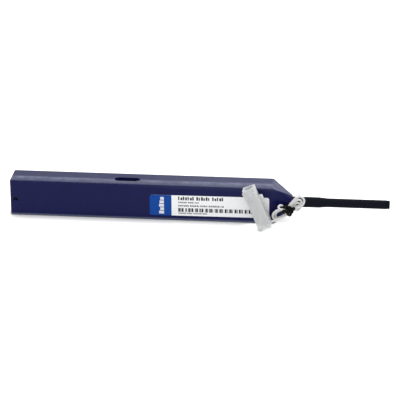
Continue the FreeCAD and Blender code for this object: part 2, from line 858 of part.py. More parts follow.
def nozzle():
    """The black nozzle: flange in the housing, thick base, taper, slim front and a grooved rim at the mouth."""
    bore, slim, base = D.nozzle_bore, D.nozzle_radius, D.nozzle_base_radius
    mouth = D.overall_length
    start = D.nozzle_spigot
    lip = mouth - D.lip_width
    corners = [
        (start, bore), (mouth - 0.35, bore), (mouth, bore + 0.35), (mouth, slim - 0.35),
        (mouth - 0.2, slim - 0.15), (lip, slim - 0.02), (lip - 0.1, slim - D.lip_groove),
        (lip - 0.4, slim - D.lip_groove), (lip - 0.5, slim), (D.taper_end, slim),
        (D.taper_start, base), (D.flange_end, base), (D.flange_end, D.flange_radius),
        (D.flange_start, D.flange_radius), (D.flange_start, base), (start, base),
    ]  # fmt: skip
    local = [(Size.of(x) - start, r) for x, r in corners]
    _, owner = turned("nozzle", "XZ", "H_Axis", local, (along(start), 0, AXIS_HEIGHT))
    keep("nozzle", owner)


def coil(name, radius, wire, turns, start, end, sides, steps):
    """A coil spring about the pen's centre line, of flat faces: sides round the wire and steps to a turn."""
    # The wire's many-sided section has the area of the round one.
    reach = wire.value * math.sqrt(2 * math.pi / (sides * math.sin(2 * math.pi / sides)))
    length = end.value - start.value - 2 * reach
    count = round(turns.value * steps)
    rise = length / count
    rings = []
    for step in range(count + 1):
        angle = 2 * math.pi * step / steps
        outward = Vector(0, math.cos(angle), math.sin(angle))
        round_way = Vector(0, -math.sin(angle), math.cos(angle))
        onward = round_way * (2 * math.pi * radius.value / steps) + Vector(rise, 0, 0)
        side_way = onward.cross(outward).normalize()
        centre = outward * radius.value + Vector(reach + rise * step, 0, 0)
        rings.append(
            [
                centre
                + outward * (reach * math.cos(2 * math.pi * side / sides))
                + side_way * (reach * math.sin(2 * math.pi * side / sides))
                for side in range(sides)
            ]
        )
    faces = [Part.Face(Part.makePolygon(ring + ring[:1])) for ring in (rings[0], rings[-1])]
    for ring, following in zip(rings, rings[1:]):
        for side in range(sides):
            beside = (side + 1) % sides
            for corners in (
                (ring[side], ring[beside], following[beside]),
                (ring[side], following[beside], following[side]),
            ):
                faces.append(Part.Face(Part.makePolygon([*corners, corners[0]])))
    shell = Part.makeShell(faces)
    solid = Part.makeSolid(shell)
    if solid.Volume < 0:
        solid.reverse()
    item = doc.addObject("Part::Feature", name)
    item.Shape = solid
    return place(item, start, 0, AXIS_HEIGHT)


def springs():
    """The return spring behind the carriage and the small spring behind the tip."""
    keep(
        "return_spring",
        coil(
            "return_coil",
            D.spring_radius,
            D.spring_wire,
            D.spring_turns,
            along(D.rear_block),
            along(D.frame_start - D.rear_wall),
            sides=8,
            steps=12,
        ),
    )
    keep(
        "tip_spring",
        coil(
            "tip_coil",
            D.tip_spring_radius,
            D.tip_spring_wire,
            D.tip_spring_turns,
            along(D.shaft_end),
            along(D.tip_start),
            sides=6,
            steps=10,
        ),
    )


# ---------------------------------------------------------------- reels and drive


def reel(node, hub, flange, low, high, recess=None):
    """A reel about its own Y axis, with a bore for its axle and, on one side, a ratchet recess."""
    bore, rim = D.axle_radius + D.running_gap, D.reel_flange
    side = low + rim if recess is None else low + rim + recess
    corners = [(bore, high), (bore, low), (flange, low), (flange, side), (hub, side)]
    corners += [(hub, high - rim), (flange, high - rim), (flange, high)]
    return turned(node, "XY", "V_Axis", corners, (0, 0, 0))[0]


def supply_side():
    """The supply reel, its clean thread and the brake washer that keeps the thread tight."""
    at = (along(D.supply_place), ZERO, AXIS_HEIGHT)
    half = D.supply_half
    owner = reel("supply_reel", D.supply_hub, D.supply_flange, -half, half)
    for number in range(5):
        angle = math.radians(72 * number)
        window = circle(
            sketch_on(owner, f"supply_window_{number}", "XZ", half + 1),
            D.reel_flange * 1.6,
            (D.supply_flange + D.supply_hub) * (math.cos(angle) / 2),
            (D.supply_flange + D.supply_hub) * (math.sin(angle) / 2),
        )
        pocket(owner, f"supply_window_cut_{number}", window, D.reel_flange + 1)
    keep("supply_reel", place(owner, *at))
    wound = half - D.reel_flange
    keep("clean_thread", winding("clean_winding", D.supply_hub, D.supply_wound, -wound, wound, at))
    keep(
        "brake_washer",
        winding(
            "brake_ring",
            D.axle_radius + 0.1,
            D.axle_radius * 2.4,
            half + 0.05,
            half + 0.05 + D.brake_gap / 2,
            at,
        ),
    )


def winding(name, inner, outer, low, high, at):
    """A plain ring about an axis along Y."""
    x, y, z = at
    disc = cylinder(f"{name}_disc", "Y", outer, (x, y + low, z), high - low)
    hole = cylinder(f"{name}_hole", "Y", inner, (x, y + low - 1, z), high - low + 2)
    return cut(name, disc, hole)


def takeup_side():
    """The take-up reel with its ratchet ring, and the used thread on it."""
    at = (along(D.takeup_place), ZERO, AXIS_HEIGHT)
    low, high = D.takeup_inner, D.takeup_outer
    owner = reel("take_up_reel", D.takeup_hub, D.takeup_flange, low, high, D.ratchet_depth)
    recess = circle(sketch_on(owner, "ratchet_recess_outline", "XZ", -low), D.ratchet_radius)
    pocket(owner, "ratchet_recess", recess, D.ratchet_depth, reverse=False)
    tooth = sketch_on(owner, "ratchet_gap_outline", "XZ", -low)
    step = math.radians(360 / D.ratchet_teeth.value)
    inner, root = D.ratchet_radius, D.ratchet_root
    polygon(
        tooth,
        [
            (inner * 0.9, 0),
            (root, 0),
            (inner * math.cos(step * 0.9), -inner * math.sin(step * 0.9)),
            (inner * 0.9 * math.cos(step * 0.9), -inner * 0.9 * math.sin(step * 0.9)),
        ],
    )
    gap = pocket(owner, "ratchet_gap", tooth, D.ratchet_depth, reverse=False)
    repeat(owner, "ratchet_ring", gap, tooth, "N_Axis", D.ratchet_teeth)
    keep("take_up_reel", place(owner, *at))
    side = low + D.reel_flange + D.ratchet_depth
    keep(
        "used_thread",
        winding("used_winding", D.takeup_hub, D.takeup_wound, side, high - D.reel_flange, at),
    )


def drive_pinion():
    """The pinion that the rack turns, with three spring pawls on a hub that enters the ratchet ring."""
    owner = body("pinion_body")
    low, high = D.rack_side + 0.1, D.takeup_inner - 0.25
    width = high - low
    root = PITCH_RADIUS - DEDENDUM
    blank = circle(sketch_on(owner, "pinion_root_outline", "XZ", -high), root)
    pad(owner, "pinion_blank", blank, width)
    tooth = sketch_on(owner, "pinion_tooth_outline", "XZ", -high)
    half_root = PITCH / 4 - D.gear_backlash + DEDENDUM * 0.3
    half_pitch = PITCH / 4 - D.gear_backlash
    half_tip = PITCH / 4 - D.gear_backlash - ADDENDUM * 0.52
    tip = PITCH_RADIUS + ADDENDUM * 0.9
    polygon(
        tooth,
        [
            (root - 0.4, -half_root),
            (PITCH_RADIUS, -half_pitch),
            (tip, -half_tip),
            (tip, half_tip),
            (PITCH_RADIUS, half_pitch),
            (root - 0.4, half_root),
        ],
    )
    first = pad(owner, "pinion_tooth", tooth, width)
    repeat(owner, "pinion_ring", first, tooth, "N_Axis", D.gear_teeth)

    hub_reach = D.ratchet_depth * 0.85 + 0.25
    hub = circle(sketch_on(owner, "pawl_hub_outline", "XZ", -high), D.axle_radius * 2.1)
    pad(owner, "pawl_hub", hub, hub_reach, reverse=True)
    arm = sketch_on(owner, "pawl_outline", "XZ", -high)
    reach = D.pawl_radius
    polygon(
        arm,
        [
            (D.axle_radius * 1.2, -1.9),
            (reach * 0.62, -1.9),
            (reach * 0.86, -0.9),
            (reach * 0.98, 0.6),
            (reach * 0.78, 0.5),
            (reach * 0.7, -0.6),
            (reach * 0.5, -1.2),
            (D.axle_radius * 1.2, -1.1),
        ],
    )
    pawl = pad(owner, "pawl", arm, hub_reach, reverse=True)
    repeat(owner, "pawl_ring", pawl, arm, "N_Axis", 3)
    bore = circle(
        sketch_on(owner, "pinion_bore_outline", "XZ", -high - 5), D.axle_radius + D.running_gap
    )
    pocket(owner, "pinion_bore", bore, width + 10, reverse=True)
    # Turned by half a tooth, so that a gap faces the rack straight below the axis.
    turn = Rotation(Vector(0, 1, 0), 90 + 180 / D.gear_teeth.value)
    keep("drive_pinion", place(owner, along(D.takeup_place), 0, AXIS_HEIGHT, rotation=turn))


# ---------------------------------------------------------------- turning shaft and tip


def rotor():
    """The drum with the helical groove, between its two journals."""
    start = D.journal_rear
    bore, seat = D.shaft_bore, D.shaft_radius
    corners = [
        (start, bore), (D.shaft_seat, bore), (D.shaft_seat, seat), (D.journal_front, seat),
        (D.journal_front, D.journal_radius), (D.drum_end, D.journal_radius), (D.drum_end, D.drum_radius),
        (D.drum_start, D.drum_radius), (D.drum_start, D.journal_radius), (start, D.journal_radius),
    ]  # fmt: skip
    local = [(Size.of(x) - start, r) for x, r in corners]
    owner, _ = turned("rotor", "XZ", "H_Axis", local, (along(start), 0, AXIS_HEIGHT))
    middle = D.follower_place - D.groove_spare - start
    groove = polygon(
        sketch_on(owner, "groove_outline", "XY"),
        [
            (middle - D.groove_width / 2, -D.drum_radius - 0.6),
            (middle + D.groove_width / 2, -D.drum_radius - 0.6),
            (middle + D.groove_width / 2, -D.groove_floor),
            (middle - D.groove_width / 2, -D.groove_floor),
        ],
    )
    helix = owner.newObject("PartDesign::SubtractiveHelix", "helical_groove")
    helix.Profile = groove
    helix.ReferenceAxis = (groove, ["H_Axis"])
    helix.Mode = 0
    bind(helix, Pitch=D.groove_lead, Height=D.stroke + D.groove_spare * 2)
    # The groove starts ahead of the pin by the same share of a turn as of the lead.
    lead_turn = 360 * D.groove_spare.value / D.groove_lead.value
    place(
        owner,
        along(start),
        0,
        AXIS_HEIGHT,
        rotation=Rotation(Vector(1, 0, 0), GROOVE_HAND * lead_turn),
    )
    keep("helix_rotor", owner)


GROOVE_HAND = -1


def tube_shaft():
    """The tube that carries the turn to the tip, with both thread strands inside."""
    start, end = D.shaft_seat, D.shaft_end
    rod = cylinder("shaft_rod", "X", D.shaft_radius, (along(start), 0, AXIS_HEIGHT), end - start)
    hole = cylinder(
        "shaft_hole", "X", D.shaft_bore, (along(start - 1), 0, AXIS_HEIGHT), end - start + 2
    )
    keep("turning_tube", cut("shaft_tube", rod, hole))


def cleaning_tip():
    """The sprung tip: a short tube with a cross bar at its mouth that the thread turns over."""
    start, end = D.tip_start, D.tip_end
    radius, bore = D.shaft_radius, D.shaft_bore
    corners = [
        (0, bore), (end - start, bore), (end - start, radius - 0.45), (end - start - 0.9, radius),
        (0, radius),
    ]  # fmt: skip
    _, tube = turned("tip_tube", "XZ", "H_Axis", corners, (along(start), 0, AXIS_HEIGHT))
    bar = cylinder(
        "tip_cross_bar",
        "Y",
        D.tip_bar,
        (along(end - 0.35), -radius + 0.5, AXIS_HEIGHT),
        (radius - 0.5) * 2,
    )
    keep("cleaning_tip", fuse("tip_with_bar", tube, bar))


# ---------------------------------------------------------------- paths of thread and cord


def rounded_path(points, radii=None):
    """A wire of straight runs joined by tangent arcs, and the arcs' radii.

    An arc's radius is as large as its two runs allow, or the one that radii gives for its corner.
    """
    radii = radii or {}
    edges, made = [], []
    last = points[0]
    for number in range(1, len(points) - 1):
        before, corner, after = points[number - 1 : number + 2]
        back, ahead = (before - corner).normalize(), (after - corner).normalize()
        half_turn = (math.pi - back.getAngle(ahead)) / 2
        shorter = min((before - corner).Length, (after - corner).Length)
        radius = radii.get(number, 0.45 * shorter / math.tan(half_turn))
        trim = radius * math.tan(half_turn)
        start, end = corner + back * trim, corner + ahead * trim
        middle_way = (back + ahead).normalize()
        centre = corner + middle_way * (radius / math.cos(half_turn))
        middle = centre - middle_way * radius
        edges.append(Part.LineSegment(last, start).toShape())
        edges.append(Part.Arc(start, middle, end).toShape())
        made.append((radius, centre))
        last = end
    edges.append(Part.LineSegment(last, points[-1]).toShape())
    return Part.Wire(edges), made


def tube_along(name, points, radius, radii=None):
    """A round tube along a route, checked against its section times its length."""
    wire, made = rounded_path(points, radii)
    direction = points[1] - points[0]
    section = Part.Wire(Part.makeCircle(radius, points[0], direction))
    shape = wire.makePipeShell([section], True, False)
    wanted = math.pi * radius**2 * wire.Length
    print(
        f"{name}: length {wire.Length:.1f}, volume {shape.Volume / wanted:.4f} of section x length,",
        "radii",
        [round(r, 2) for r, _ in made],
    )
    item = doc.addObject("Part::Feature", name)
    item.Shape = shape
    return item, made


def threads():
    """The clean strand over its guide posts and the used strand back to the take-up reel."""
    high, thick = AXIS_HEIGHT.value, D.thread_radius.value
    supply_x, takeup_x = along(D.supply_place).value, along(D.takeup_place).value
    corner_x, entry_x = along(D.guide_place).value, along(D.entry_place).value
    end_x = along(D.shaft_end - 1.8).value
    top = high + D.supply_wound.value + thick + 0.02
    upper, lower = high + D.strand_offset.value, high - D.strand_offset.value
    bend = D.guide_radius.value + thick + 0.02
    side = 1.5
    clean, corners = tube_along(
        "clean_strand",
        [
            Vector(supply_x, side, top),
            Vector(corner_x, side, top),
            Vector(entry_x, 0, upper),
            Vector(end_x, 0, upper),
        ],
        thick,
        {1: bend, 2: bend},
    )
    keep("clean_thread_run", clean)

    reach = D.takeup_wound.value + thick + 0.02
    gap_x, gap_z = entry_x - takeup_x, lower - high
    distance = math.hypot(gap_x, gap_z)
    tangent = math.atan2(gap_z, gap_x) + math.acos(reach / distance)
    used, _ = tube_along(
        "used_strand",
        [
            Vector(takeup_x + reach * math.cos(tangent), side, high + reach * math.sin(tangent)),
            Vector(entry_x, 0, lower),
            Vector(end_x, 0, lower),
        ],
        thick,
    )
    keep("used_thread_run", used)

    rear = along(D.shaft_end - 0.8).value
    turn_x = along(D.tip_end - 0.35).value
    offset = D.strand_offset.value
    loop_edges = [
        Part.LineSegment(Vector(rear, 0, upper), Vector(turn_x, 0, upper)).toShape(),
        Part.Arc(
            Vector(turn_x, 0, upper), Vector(turn_x + offset, 0, high), Vector(turn_x, 0, lower)
        ).toShape(),
        Part.LineSegment(Vector(turn_x, 0, lower), Vector(rear, 0, lower)).toShape(),
    ]
    section = Part.Wire(Part.makeCircle(thick, Vector(rear, 0, upper), Vector(1, 0, 0)))
    loop = doc.addObject("Part::Feature", "tip_loop")
    loop.Shape = Part.Wire(loop_edges).makePipeShell([section], True, False)
    keep("tip_thread", loop)

    posts = []
    for number, (_, centre) in enumerate(corners):
        low, high_y = -D.cover_inner, D.frame_inner
        posts.append(
            cylinder(
                f"guide_post_{number}",
                "Y",
                D.guide_radius,
                (centre.x, low, centre.z),
                high_y - low,
            )
        )
    keep("thread_guides", fuse("guide_posts", *posts))


# ---------------------------------------------------------------- guide cap and tether


def cap_placement():
    """The cap stands on one corner, leans to the rear and is turned a little about the vertical."""
    roll = Rotation(Vector(0, 1, 0), -D.cap_roll.value)
    yaw = Rotation(Vector(0, 0, 1), D.cap_yaw.value)
    base = Vector(D.cap_x.value, D.cap_y.value, D.cap_z.value)
    return Placement(base, yaw * roll)


def guide_cap():
    """The clear cap: a connector socket below, a nozzle bore above and an ear between the two blocks."""
    owner = body("cap_body")
    width, depth, length = D.cap_width, D.cap_depth, D.cap_length
    wall, block = D.cap_wall, D.cap_block
    head_width, head_depth = width - D.cap_step, D.cap_head_depth
    lower = rounded_rectangle(
        sketch_on(owner, "cap_block_outline", "XY"), (0, 0), (width, depth), D.cap_edge
    )
    pad(owner, "cap_block", lower, block)
    head = rounded_rectangle(
        sketch_on(owner, "cap_head_outline", "XY", block), (0, 0), (head_width, head_depth), D.cap_edge
    )
    pad(owner, "cap_head", head, length - block)

    ear = sketch_on(owner, "ear_outline", "XZ", -head_depth * 0.7)
    polygon(
        ear,
        [
            (width - 0.6, block - 1.9),
            (width + D.cap_ear * 0.6, block - 1.9),
            (width + D.cap_ear, block - 1.4),
            (width + D.cap_ear, block + 0.4),
            (width + D.cap_ear * 0.4, block + 1.4),
            (width - 0.6, block + 1.4),
        ],
    )
    pad(owner, "ear", ear, head_depth * 0.4)

    rib = sketch_on(owner, "rib_outline", "XZ", -head_depth * 0.75)
    polygon(
        rib,
        [
            (D.cap_wall * 0.5, block - 0.6),
            (D.cap_rib * -0.4, block),
            (-D.cap_rib, block + 4.0),
            (D.cap_rib * -0.8, block + 5.4),
            (D.cap_wall * 0.5, block + 6.6),
        ],
    )
    pad(owner, "rib", rib, head_depth * 0.6)

    socket = sketch_on(owner, "socket_outline", "XY")
    polygon(
        socket, [(wall, wall), (width - wall, wall), (width - wall, depth - wall), (wall, depth - wall)]
    )
    pocket(owner, "socket", socket, D.cap_socket, reverse=True)
    centre_x, centre_y = head_width / 2, head_depth / 2
    bore = circle(
        sketch_on(owner, "cap_bore_outline", "XY", D.cap_socket + 1.2),
        D.cap_bore_radius,
        centre_x,
        centre_y,
    )
    pocket(owner, "nozzle_bore", bore, length, reverse=True)
    ferrule = circle(
        sketch_on(owner, "ferrule_outline", "XY", D.cap_socket - 1), 1.3, centre_x, centre_y
    )
    pocket(owner, "ferrule_hole", ferrule, 4, reverse=True)
    owner.Placement = cap_placement()
    keep("guide_cap", owner)


def hank_placement():
    """The frame of the hank: X from the lower to the upper loops, Y away from the viewer's side."""
    turn = Rotation(Vector(0, 0, 1), D.hank_turn.value)
    rise = Rotation(Vector(0, 1, 0), -D.hank_rise.value)
    base = Vector(D.hank_x.value, D.hank_y.value, D.hank_z.value)
    return Placement(base, turn * rise)


def tether():
    """The free cord: its lead from the cap, the tied hank and the loop round the nozzle."""
    where = hank_placement()
    half = D.hank_thickness / 2
    low = cylinder("low_loops", "Y", D.hank_low_radius, (0, -half, 0), D.hank_thickness)
    high = cylinder("high_loops", "Y", D.hank_high_radius, (D.hank_span, -half, 0), D.hank_thickness)
    waist = box(
        "hank_waist_bar", (0, -half, -D.hank_waist / 2), (D.hank_span, half, D.hank_waist / 2)
    )
    hank = fuse("hank_form", low, high, waist)
    hank.Placement = where
    keep("tether_hank", hank)

    middle = D.hank_span * 0.47
    tie_half, wall = D.tie_length / 2, D.tie_wall
    outer = box(
        "tie_outer",
        (middle - tie_half, -half - wall, -D.hank_waist / 2 - wall * 1.4),
        (middle + tie_half, half + wall, D.hank_waist / 2 + wall),
    )
    inner = box(
        "tie_inner",
        (middle - tie_half - 1, -half, -D.hank_waist / 2),
        (middle + tie_half + 1, half, D.hank_waist / 2),
    )
    tie = cut("tie_form", outer, inner)
    tie.Placement = where
    keep("hank_tie", tie)

    anchor = doc.addObject("Part::Torus", "anchor_loop")
    bind(anchor, Radius1=D.anchor_radius, Radius2=D.cord_radius)
    place(anchor, along(D.anchor_place), 0, AXIS_HEIGHT, rotation=TURN_TO["X"])
    keep("tether_anchor", anchor)

    cap = cap_placement()
    face_out = cap.Rotation.multVec(Vector(1, 0, 0))
    hank_way = where.Rotation.multVec(Vector(1, 0, 0))
    start = cap.multVec(Vector(D.cap_width.value, D.cap_depth.value * 0.74, 0.9))
    end = where.multVec(Vector((middle - tie_half).value, (-half).value - 0.62, -2.0))
    lead, _ = tube_along(
        "cord_lead",
        [start, start + face_out * 2.4, end - hank_way * 2.6, end],
        D.cord_radius.value,
    )
    keep("tether_cord", lead)


# ---------------------------------------------------------------- the whole pen


def failed_objects():
    """Names of the document's objects that didn't compute."""
    return [o.Name for o in doc.Objects if {"Invalid", "Error"} & set(o.State)]


def main():
    housing()
    label()
    rack()
    follower_pin()
    carriage_frame()
    carriage_cover()
    axles()
    nozzle()
    springs()
    supply_side()
    takeup_side()
    drive_pinion()
    rotor()
    tube_shaft()
    cleaning_tip()
    threads()
    guide_cap()
    tether()
    doc.recompute()

    failed = failed_objects()
    if failed:
        raise RuntimeError(f"objects that failed: {failed}")
    for node, item in NODES.items():
        shape = item.Shape
        if shape.isNull() or not shape.isValid() or not shape.Solids:
            raise RuntimeError(f"{node} has no valid solid")
    os.makedirs("parts", exist_ok=True)
    for node, item in NODES.items():
        item.Shape.exportStep(f"parts/{node}.step")
        print(f"{node}: {len(item.Shape.Solids)} solid(s), {item.Shape.Volume:.1f} mm3")


main()
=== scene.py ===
"""Looks of the fibre connector cleaning pen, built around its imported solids.

The pen lies along X with its nozzle to +X, its labelled side faces -Y and the table is at Z = 0.
All sizes are in metres.
"""

import logging
from collections.abc import Callable, Iterable, Iterator
from contextlib import contextmanager
from dataclasses import dataclass
from enum import Enum
from functools import cache
from itertools import cycle
from math import cos, radians, sin, tau

import bmesh
import bpy
from bpy.types import Material, Node, NodeSocket, NodeTree, Object
from mathutils import Matrix, Vector


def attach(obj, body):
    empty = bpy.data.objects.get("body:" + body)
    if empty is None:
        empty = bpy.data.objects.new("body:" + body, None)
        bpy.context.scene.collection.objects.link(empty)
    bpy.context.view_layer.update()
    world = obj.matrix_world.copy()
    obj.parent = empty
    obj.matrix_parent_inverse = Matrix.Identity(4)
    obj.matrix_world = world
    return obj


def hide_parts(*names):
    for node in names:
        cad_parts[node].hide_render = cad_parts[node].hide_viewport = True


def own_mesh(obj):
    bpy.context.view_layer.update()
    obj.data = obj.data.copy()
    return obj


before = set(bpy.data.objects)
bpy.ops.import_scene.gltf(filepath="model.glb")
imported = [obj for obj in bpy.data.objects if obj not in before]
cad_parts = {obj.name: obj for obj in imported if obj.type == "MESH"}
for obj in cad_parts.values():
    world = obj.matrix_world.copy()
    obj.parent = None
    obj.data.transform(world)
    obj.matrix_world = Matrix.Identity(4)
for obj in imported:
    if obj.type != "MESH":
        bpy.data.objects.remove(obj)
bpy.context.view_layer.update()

LOG = logging.getLogger("cleaning_pen")
WHITE = (1.0, 1.0, 1.0, 1.0)
CASE_HALF_WIDTH = 0.0079
CENTRE_HEIGHT = 0.01035
MM = 0.001
TENTHS, HUNDREDTHS = 10000, 100000  # parts of a millimetre in a metre
OVER = 0.001  # how far a cutter passes its hole's end
APART = 0.00001  # keeps two faces out of one plane
FADE_OUT = (1.0, 0.0)

# Where the painted light on the case changes: from and to along it, across it and up it.
MIDDLE_PART = (-0.05, 0.0)
FRONT_PART = (-0.03, 0.04)
NOSE_START = (0.0398, 0.0412)
NOSE_LENGTH = (0.0405, 0.0517)
OUTER_STRIP = (-0.0086, -0.0012)
NOSE_EDGE = (-0.0078, -0.0055)
SEAM = (-0.0013, -0.0007)
LOWER_BAND = (0.0008, 0.0016)
UPPER_BAND = (0.0178, 0.0204)

Pair = tuple[float, float]
Colour = Point = tuple[float, float, float]
Whole = tuple[int, int, int]
Stroke = tuple[float, float, float, float]


class Slot(Enum):
    """The names of the record's material slots."""

    LABEL = "label_paper"
    STEEL = "steel"
    CLEAR = "clear_plastic"
    CORD = "cord"
    TIE = "tie_rubber"


class Merge(Enum):
    """What becomes of a piece that is combined with another."""

    ADD = "UNION"
    CUT = "DIFFERENCE"


# ---- node building


class Board:
    """Adds and joins the nodes of one node tree."""

    def __init__(self, tree: NodeTree) -> None:
        """Empties the tree of a material, a world or an effect, and starts on it."""
        self.tree = tree
        tree.nodes.clear()

    def add(self, kind: str, inputs: dict | None = None, **settings: object) -> Node:
        """Adds a node.

        Args:
            kind: The node's type name without its ShaderNode prefix.
            inputs: Values or source sockets for its inputs, by name or number.
            settings: Its other settings.

        Returns:
            The node.
        """
        full = kind if kind.startswith("NodeGroup") else "ShaderNode" + kind
        node = self.tree.nodes.new(full)
        for key, value in settings.items():
            setattr(node, key, value)
        for key, value in (inputs or {}).items():
            if isinstance(value, NodeSocket):
                self.tree.links.new(value, node.inputs[key])
            else:
                node.inputs[key].default_value = value
        return node

    def math(self, kind: str, *terms: object) -> NodeSocket:
        """Adds a Math node and returns its result.

        Args:
            kind: The operation, such as MULTIPLY.
            terms: Numbers or sockets.

        Returns:
            The result's socket.
        """
        return self.add("Math", dict(enumerate(terms)), operation=kind).outputs[0]

    def times(self, first: object, second: object) -> NodeSocket:
        """The product of two numbers or sockets."""
        return self.math("MULTIPLY", first, second)

    def blend(self, share: object, first: object, second: object) -> NodeSocket:
        """Blends two colours.

        Args:
            share: How much of the second shows, from 0 to 1.
            first: A colour or socket.
            second: A colour or socket.

        Returns:
            The blended colour's socket.
        """
        colours = [(*value, 1.0) if isinstance(value, tuple) else value for value in (first, second)]
        return self.add("Mix", {0: share, 6: colours[0], 7: colours[1]}, data_type="RGBA").outputs[2]

    def noise(self, place: NodeSocket, scale: object, detail: float = 3.0) -> NodeSocket:
        """A cloudy value around one half.

        Args:
            place: The socket of the coordinates.
            scale: Cells per metre, or a socket.
            detail: Octaves.

        Returns:
            The value's socket.
        """
        return self.add("TexNoise", {"Vector": place, "Scale": scale, "Detail": detail}).outputs["Fac"]

    def ramp(self, value: NodeSocket, low: float, high: float, to: Pair = (0.0, 1.0)) -> NodeSocket:
        """Stretches a value smoothly from one range to another.

        Args:
            value: The socket of the value.
            low: Start of its range.
            high: End of its range.
            to: The range that it becomes.

        Returns:
            The new value's socket.
        """
        inputs = {"Value": value, "From Min": low, "From Max": high, "To Min": to[0], "To Max": to[1]}
        return self.add("MapRange", inputs, interpolation_type="SMOOTHSTEP").outputs[0]

    def place(self, kind: str = "Object") -> NodeSocket:
        """The coordinates of the piece, or those of its UV map."""
        return self.add("TexCoord").outputs[kind]

    def split(self, vector: NodeSocket) -> list[NodeSocket]:
        """The X, Y and Z of a vector."""
        return list(self.add("SeparateXYZ", {0: vector}).outputs)

    def shared(self, group: NodeTree, **inputs: float) -> dict[str, NodeSocket]:
        """Adds a shared effect.

        Args:
            group: The effect.
            inputs: The values of its inputs, by name.

        Returns:
            Its outputs by name.
        """
        return dict(self.add("Group", inputs, node_tree=group).outputs.items())

    def give(self, **results: NodeSocket) -> NodeTree:
        """Joins the results of a shared effect to its outputs, and returns the effect."""
        self.add("NodeGroupOutput", results)
        return self.tree


class Coat(Board):
    """A new material and the board on its tree."""

    def __init__(self, name: str) -> None:
        """Makes the material, under the finish's name."""
        self.material = bpy.data.materials.new(name)
        self.material.use_nodes = True
        super().__init__(self.material.node_tree)

    def close(self, relief: tuple[NodeSocket, float, float], look: dict[str, object]) -> Material:
        """Ends the material with a relief and a principled shader.

        Args:
            relief: The relief's height, strength and depth.
            look: The shader's other inputs.

        Returns:
            The material.
        """
        bump = self.add("Bump", dict(zip(("Height", "Strength", "Distance"), relief)))
        shader = self.add("BsdfPrincipled", {**look, "Normal": bump.outputs[0]})
        self.add("OutputMaterial", {"Surface": shader.outputs[0]})
        return self.material


def effect(name: str, takes: dict[str, float], *gives: str) -> tuple[Board, dict[str, NodeSocket]]:
    """Starts a node group that materials share.

    Args:
        name: The effect's name.
        takes: Its number inputs with their usual values.
        gives: Its number outputs.

    Returns:
        A board on the group, and the sockets of its inputs by name.
    """
    tree = bpy.data.node_groups.new(name, "ShaderNodeTree")
    for key, value in takes.items():
        socket = tree.interface.new_socket(key, in_out="INPUT", socket_type="NodeSocketFloat")
        socket.default_value = value
    for key in gives:
        tree.interface.new_socket(key, in_out="OUTPUT", socket_type="NodeSocketFloat")
    board = Board(tree)
    return board, dict(board.add("NodeGroupInput").outputs.items())


@cache
def mould_grain() -> NodeTree:
    """The fine spark-eroded grain of a mould: a height, and a cloudy tone."""
    board, given = effect("mould_grain", {"Size": 0.0003}, "Height", "Cloud")
    place = board.place()
    scale = board.math("DIVIDE", 1.0, given["Size"])
    cells = board.add("TexVoronoi", {"Vector": place, "Scale": scale}).outputs["Distance"]
    height = board.math("MULTIPLY_ADD", cells, 0.5, board.noise(place, scale, 2.0))
    return board.give(Height=height, Cloud=board.noise(place, 130.0, 4.0))


@cache
def edge_wear_and_highlight() -> NodeTree:
    """Wear along the long edges of a box-shaped case that is centred on X, widened into a painted
    highlight along them.
    """
    takes = {"Half Width": CASE_HALF_WIDTH, "Half Height": CENTRE_HEIGHT, "Reach": 0.0007}
    board, given = effect("edge_wear_and_highlight", takes, "Mask")
    place = board.place()
    _, across, up = board.split(place)
    half_height = given["Half Height"]
    to_side = board.math("SUBTRACT", given["Half Width"], board.math("ABSOLUTE", across))
    level = board.math("ABSOLUTE", board.math("SUBTRACT", up, half_height))
    to_top = board.math("SUBTRACT", half_height, level)
    away = board.math("ADD", board.math("ABSOLUTE", to_side), board.math("ABSOLUTE", to_top))
    # The band along each edge is partly wear and partly a painted highlight.
    band = board.math("SUBTRACT", 1.0, board.math("DIVIDE", away, given["Reach"]))
    patchy = board.ramp(board.noise(place, 700.0, 4.0), 0.42, 0.62)
    mask = board.add("Clamp", {"Value": board.times(band, patchy)}).outputs[0]
    return board.give(Mask=mask)


@cache
def painted_top_light() -> NodeTree:
    """Painted light on faces that look up, taken off in the middle and different on the nose."""
    board, given = effect("painted_top_light", {"Amount": 0.1, "LightCut": 0.0, "Nose": 0.0}, "Mask")
    place = board.place()
    ahead, across, _ = board.split(place)
    _, sideways, up = board.split(board.add("NewGeometry").outputs["Normal"])
    upright = board.ramp(board.math("ABSOLUTE", sideways), 0.1, 0.4, FADE_OUT)
    patchy = board.ramp(board.noise(place, 260.0, 5.0), 0.25, 0.75, (0.55, 1.0))
    level = board.times(board.times(board.ramp(up, 0.5, 0.84), upright), patchy)
    # On the case the painted top light changes across the seam of its halves.
    outer = board.ramp(across, *OUTER_STRIP, FADE_OUT)
    seam = board.ramp(across, *SEAM)
    kept = board.times(board.math("MAXIMUM", outer, seam), given["LightCut"])
    behind = board.times(seam, board.ramp(ahead, *FRONT_PART))
    amount = board.times(given["Amount"], board.math("ADD", 1.0, behind))
    painted_light = board.times(amount, board.math("SUBTRACT", 1.0, kept))
    # The sides of the nose draw in.
    edge = board.math("DIVIDE", across, board.ramp(ahead, *NOSE_LENGTH, (1.0, 0.475)))
    nose = board.times(given["Nose"], board.ramp(edge, *NOSE_EDGE))
    on_nose = board.ramp(ahead, *NOSE_START)
    painted_light = board.times(painted_light, board.math("SUBTRACT", 1.0, on_nose))
    painted_light = board.math("MULTIPLY_ADD", nose, on_nose, painted_light)
    return board.give(Mask=board.times(painted_light, level))


@cache
def painted_edge_sheen() -> NodeTree:
    """Painted sheen: pale bands along the lower and upper edges of the case's sides, standing in for
    light caught by their rounding.
    """
    board, given = effect("painted_edge_sheen", {"Lower": 0.0, "Upper": 0.0}, "Mask")
    ahead, _, up = board.split(board.place())
    lower = board.times(board.ramp(up, *LOWER_BAND, FADE_OUT), given["Lower"])
    upper = board.times(board.ramp(up, *UPPER_BAND), given["Upper"])
    upper = board.times(upper, board.ramp(ahead, *MIDDLE_PART))
    return board.give(Mask=board.math("MAXIMUM", lower, upper))


